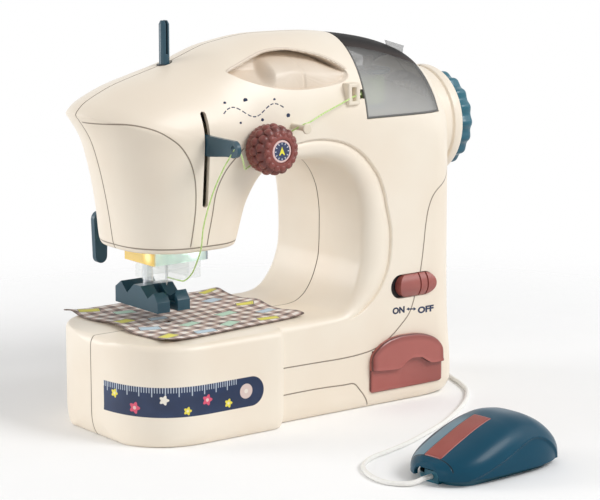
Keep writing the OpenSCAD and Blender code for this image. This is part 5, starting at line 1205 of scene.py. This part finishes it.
def buildDrawer():
    # columns from left to right; each column runs from the lower edge over the step of the wavy line to the arch
    left, right, radius = drawerSize["left"], drawerSize["right"], drawerSize["corner"]
    x = (left + right) / 2 - (right - left) / 2 * np.cos(np.linspace(0, math.pi, 121))[:, None]
    side, top, wave = drawerEdges(x)
    corner = np.clip(1 - side / radius, 0, 1)
    low = drawerSize["low"] + radius * (1 - np.sqrt(1 - corner ** 2))
    lower, upper = np.linspace(0, 1, 26)[None], np.sin(np.linspace(0, math.pi / 2, 40))[None]
    z = np.hstack([low + (wave - 0.25 - low) * lower, wave - 0.1, wave + (top - wave) * upper])
    level = np.repeat(drawerSize["levels"], (26, 1, 40))[None]
    share = np.clip((z - wave) / np.maximum(top - wave, 0.5), 0, 1)
    near = np.minimum(side, np.minimum(z - low, top - z))
    roll = 1.3 * (1 - np.sqrt(1 - np.clip(1 - near / 2.2, 0, 1) ** 2))
    lip = 0.5 * np.exp(-((z - wave) / 1.2) ** 2) * (level > 3)
    scoop = 1.1 * np.clip((wave - z) / 6, 0, 1) * np.exp(-((x - 81) / 9) ** 2) * (level < 1.6)
    y = drawerSize["back"] - level - lip + roll + 0.3 * share ** 2 + scoop
    wide, back = x + 0 * z, drawerSize["back"] + 0 * z
    face = slab("smallDrawer", np.stack([wide, y, z], axis=-1), np.stack([wide, back, z], axis=-1), 35)
    tray = prism("tray", roundBlock(52, 100, 9.3, 32.3, 1.2), "y", -47.4, 4.6)
    combine(tray, prism("trayRoom", block(53.8, 98.2, 11.3, 60), "y", -45.4, 2.8), "DIFFERENCE")
    combine(face, tray, "UNION")
    return resharpen(face, 35)


def drawerFinish():
    # pink-brown plastic; a thin dark outline at the gap round the front, painted shade as a darker border round the
    # upper panel and towards the right of the lower panel, and a painted shadow line along the wavy step
    material, wire, shader = newMaterial("drawerFront", Coat_Weight=0.2, Coat_Roughness=0.15)
    near, step = wire.attribute("drawerRim"), wire.attribute("drawerStep")
    cloud, speck = wire.noise(40.0, 3.0), wire.noise(900.0, 2.0)
    color = wire.mix(cloud, tone("ad6058"), tone("9f544d"))
    # painted shade: darker border along the rounded edge of the upper panel
    color = wire.mix(near.ramp(0.8, 4.6, 0.62, 0.0) * step.ramp(-0.2, 0.2), color, tone("7c3a34"))
    x = wire.place()[0]
    # painted shade: the lower panel darker towards the right
    color = wire.mix(x.ramp(62.0, 102.0, 0.0, 0.45) * step.ramp(-0.2, 0.2, 1.0, 0.0), color, tone("7c3a34"))
    # dark outline at the gap round the front, and a painted shadow line under the wavy step
    line = near.ramp(0.3, 0.8, 1.0, 0.0).most(abs(step + 0.15).ramp(0.15, 0.4, 1.0, 0.0))
    color = wire.mix(line * 0.75, color, tone("4a1d19"))
    feed(wire, shader, Base_Color=color, Roughness=0.24 + 0.1 * cloud, Normal=wire.bump(speck, 0.2, 0.00002))
    return material


def markDrawer(piece):  # distance to the outline of the front, and height over the wavy line
    x, y, z = places(piece).T
    side, top, wave = drawerEdges(x)
    edge = np.minimum(side, np.minimum(z - drawerSize["low"], top - z))
    mark(piece, "drawerRim", np.where(y < drawerSize["back"], edge, 9))
    mark(piece, "drawerStep", np.where(y < drawerSize["back"], z - wave, 5))
    return piece


settle(markDrawer(buildDrawer()), "drawer_box", "red_brown_plastic", drawerFinish(), "drawer")


# switch words and the stitched line on the arm, thin prints that follow the surface
printInk = mouldedPlastic("navyPrint", "1c2d4f", "172544", 0.45)
switchPrint = {"face": -46.02, "height": 3.6, "bold": 0.22, "thick": 0.08,
               "words": [["wordOn", "ON", 70.8, 53.4, 9.0], ["wordOff", "OFF", 91.2, 51.4, 12.0]],
               "arrow": [[76.6, 55.0], [78.4, 55.9], [78.4, 55.2], [82.0, 54.8], [82.0, 55.5], [84.0, 54.2],
                         [82.0, 53.4], [82.0, 54.1], [78.4, 54.5], [78.4, 53.9]]}


def printWord(name, word, x, z, width):
    curve = bpy.data.curves.new(name, "FONT")
    curve.body, curve.size, curve.align_x = word, switchPrint["height"] * mm * 1.4, "CENTER"
    curve.extrude, curve.offset = switchPrint["thick"] * mm, switchPrint["bold"] * mm
    holder = bpy.data.objects.new(name + "Form", curve)
    bpy.context.scene.collection.objects.link(holder)
    bpy.context.view_layer.update()
    mesh = bpy.data.meshes.new_from_object(holder.evaluated_get(bpy.context.evaluated_depsgraph_get()))
    bpy.data.objects.remove(holder)
    flat = np.zeros(len(mesh.vertices) * 3)
    mesh.vertices.foreach_get("co", flat)
    flat = flat.reshape(-1, 3) / mm
    flat[:, 0] *= width / (flat[:, 0].max() - flat[:, 0].min())
    out = np.column_stack([x + flat[:, 0], switchPrint["face"] - flat[:, 2], z + flat[:, 1]]) * mm
    mesh.vertices.foreach_set("co", out.ravel())
    mesh.update()
    return newPiece(name, mesh, 30)


for row in switchPrint["words"]:
    settle(printWord(*row), "casing", "navy_face", printInk)
settle(prism("switchArrow", switchPrint["arrow"], "y", -46.1, -45.8), "casing", "navy_face", printInk)


# stitched line with buttons on the arm
stitch = {"left": -47, "right": -6, "level": 178.6, "swing": 3.0, "turns": 1.5, "count": 13, "radius": 0.42,
          "dots": [[-44, 184.2, 0.8], [-30.5, 184.6, 1.3], [-22, 173.6, 0.9], [-12, 183.8, 0.8], [-4.4, 174.6, 1.2],
                   [-37, 173.2, 0.7]]}


def stitchHeight(x):
    share = (x - stitch["left"]) / (stitch["right"] - stitch["left"])
    return stitch["level"] + stitch["swing"] * np.sin(2 * math.pi * stitch["turns"] * share)


pitch = (stitch["right"] - stitch["left"]) / stitch["count"]
for number in range(stitch["count"]):
    x = stitch["left"] + pitch * (number + np.linspace(0.05, 0.72, 9))
    z = stitchHeight(x)
    path = np.column_stack([x, surfaceDepth(x, z) + 0.25, z])
    settle(tube("stitch" + str(number), path, stitch["radius"], 8), "casing", "navy_face", printInk)
for number, (x, z, r) in enumerate(stitch["dots"]):
    y = surfaceDepth(np.array([x]), np.array([z]))[0]
    button = prism("button" + str(number), circle(x, z, r, 24), "y", y - 0.16, y + 0.6)
    settle(button, "casing", "navy_face", printInk)
print("drawer and prints done")


# every carried-over node takes a finish
finishByNode = {
    "cream_inner": ["base_plate", "battery_door", "drawer_sleeve"],
    "steel": ["main_shaft", "needle_bar", "needle", "presser_bar", "presser_spring", "tension_stud", "lid_pins",
              "pedal_spring", "battery_contacts", "motor"],
    "screw_steel": ["base_screws", "shell_screws", "chassis_screws"],
    "dark_plastic": ["battery_box", "chassis", "pin_sleeve", "switch_plate", "switch_body", "pedal_switch"],
    "teal_plastic": ["pedal_base"],
    "pale_plastic": ["crank_disc", "drive_gear", "motor_pinion", "needle_yoke"],
    "bush_brass": ["shaft_bushes"], "cell_jacket": ["battery_cells"], "lamp_glow": ["lamps"]}
for finish, names in finishByNode.items():
    for name in names:
        nodes[name].data.materials.clear()
        nodes[name].data.materials.append(finishes[finish])


# camera, light and floor
view = {"place": (-0.81581, -1.11943, 0.36241), "back": (-0.5934, -0.7818, 0.1917), "right": (0.7965, -0.6046, 0.0),
        "up": (0.1159, 0.1527, 0.9815), "lens": 147.4, "sensor": 36, "reach": 20}
stage = {"floor": 6000, "count": 13, "clear": (260.0, 560.0), "middle": (0, 0, 0.1), "throat": (0.05, 0, 0.1)}
lights = [["keyLight", (0.75, -1.5, 1.5), "middle", 1.0, 24], ["throatLight", (-1.5, -0.6, 0.2), "throat", 0.7, 1.4],
          ["backLight", (-1.1, 0.9, 0.4), "throat", 0.8, 10], ["fillLight", (1.5, -0.9, 1.2), "middle", 1.4, 5]]


def buildView():
    camera = bpy.data.objects.new("camera", bpy.data.cameras.new("camera"))
    bpy.context.scene.collection.objects.link(camera)
    camera.data.lens, camera.data.sensor_width = view["lens"], view["sensor"]
    camera.data.clip_end = view["reach"]
    axes = [view["right"], view["up"], view["back"], view["place"]]
    camera.matrix_world = Matrix([[axes[c][r] for c in range(4)] for r in range(3)] + [[0, 0, 0, 1]])
    bpy.context.scene.camera = camera


def softLight(name, place, target, size, power):
    lamp = bpy.data.lights.new(name, "AREA")
    lamp.shape, lamp.size, lamp.energy = "DISK", size, power
    holder = bpy.data.objects.new(name, lamp)
    bpy.context.scene.collection.objects.link(holder)
    back = np.array(place, float) - stage[target]
    back /= np.linalg.norm(back)
    side = np.cross([0, 0, 1], back)
    side /= np.linalg.norm(side)
    up = np.cross(back, side)
    holder.matrix_world = Matrix([[side[r], up[r], back[r], place[r]] for r in range(3)] + [[0, 0, 0, 1]])


def buildStage():
    count = stage["count"]
    line = np.linspace(-stage["floor"], stage["floor"], count)
    flat = np.stack(np.meshgrid(line, line, [0.0], indexing="xy"), axis=-1)
    floor = newPiece("floor", fillMesh("floor", flat.reshape(-1, 3), [gridFaces(count, count, False)]))
    material, wire, shader = newMaterial("paleFloor", Roughness=0.9)
    paper = wire.noise(30.0, 3.0)
    feed(wire, shader, Base_Color=wire.mix(paper, (0.95, 0.95, 0.95, 1), (0.97, 0.97, 0.97, 1)))
    x, y = wire.place()[:2]
    away = distance(x, y + 60.0).ramp(*stage["clear"])  # the sheet fades into the white room
    clear, blend = wire.tree.nodes.new("ShaderNodeBsdfTransparent"), wire.tree.nodes.new("ShaderNodeMixShader")
    wire.tree.links.new(away.socket, blend.inputs[0])
    wire.tree.links.new(shader.outputs[0], blend.inputs[1])
    wire.tree.links.new(clear.outputs[0], blend.inputs[2])
    wire.tree.links.new(blend.outputs[0], wire.tree.nodes["Material Output"].inputs["Surface"])
    floor.data.materials.append(material)
    world = bpy.data.worlds.new("studio")
    bpy.context.scene.world = world
    world.use_nodes = True
    air = Wire(world.node_tree)
    direct, glossy, through = (air.node("LightPath", out="Is " + kind + " Ray")
                               for kind in ("Camera", "Glossy", "Transmission"))
    seen = direct.most(glossy).most(through)
    sky = world.node_tree.nodes["Background"]
    sky.inputs["Color"].default_value = (1, 1, 1, 1)
    world.node_tree.links.new((0.5 + 0.5 * seen).socket, sky.inputs["Strength"])
    for row in lights:
        softLight(*row)


buildView()
buildStage()
bpy.context.scene.view_settings.view_transform = "Standard"
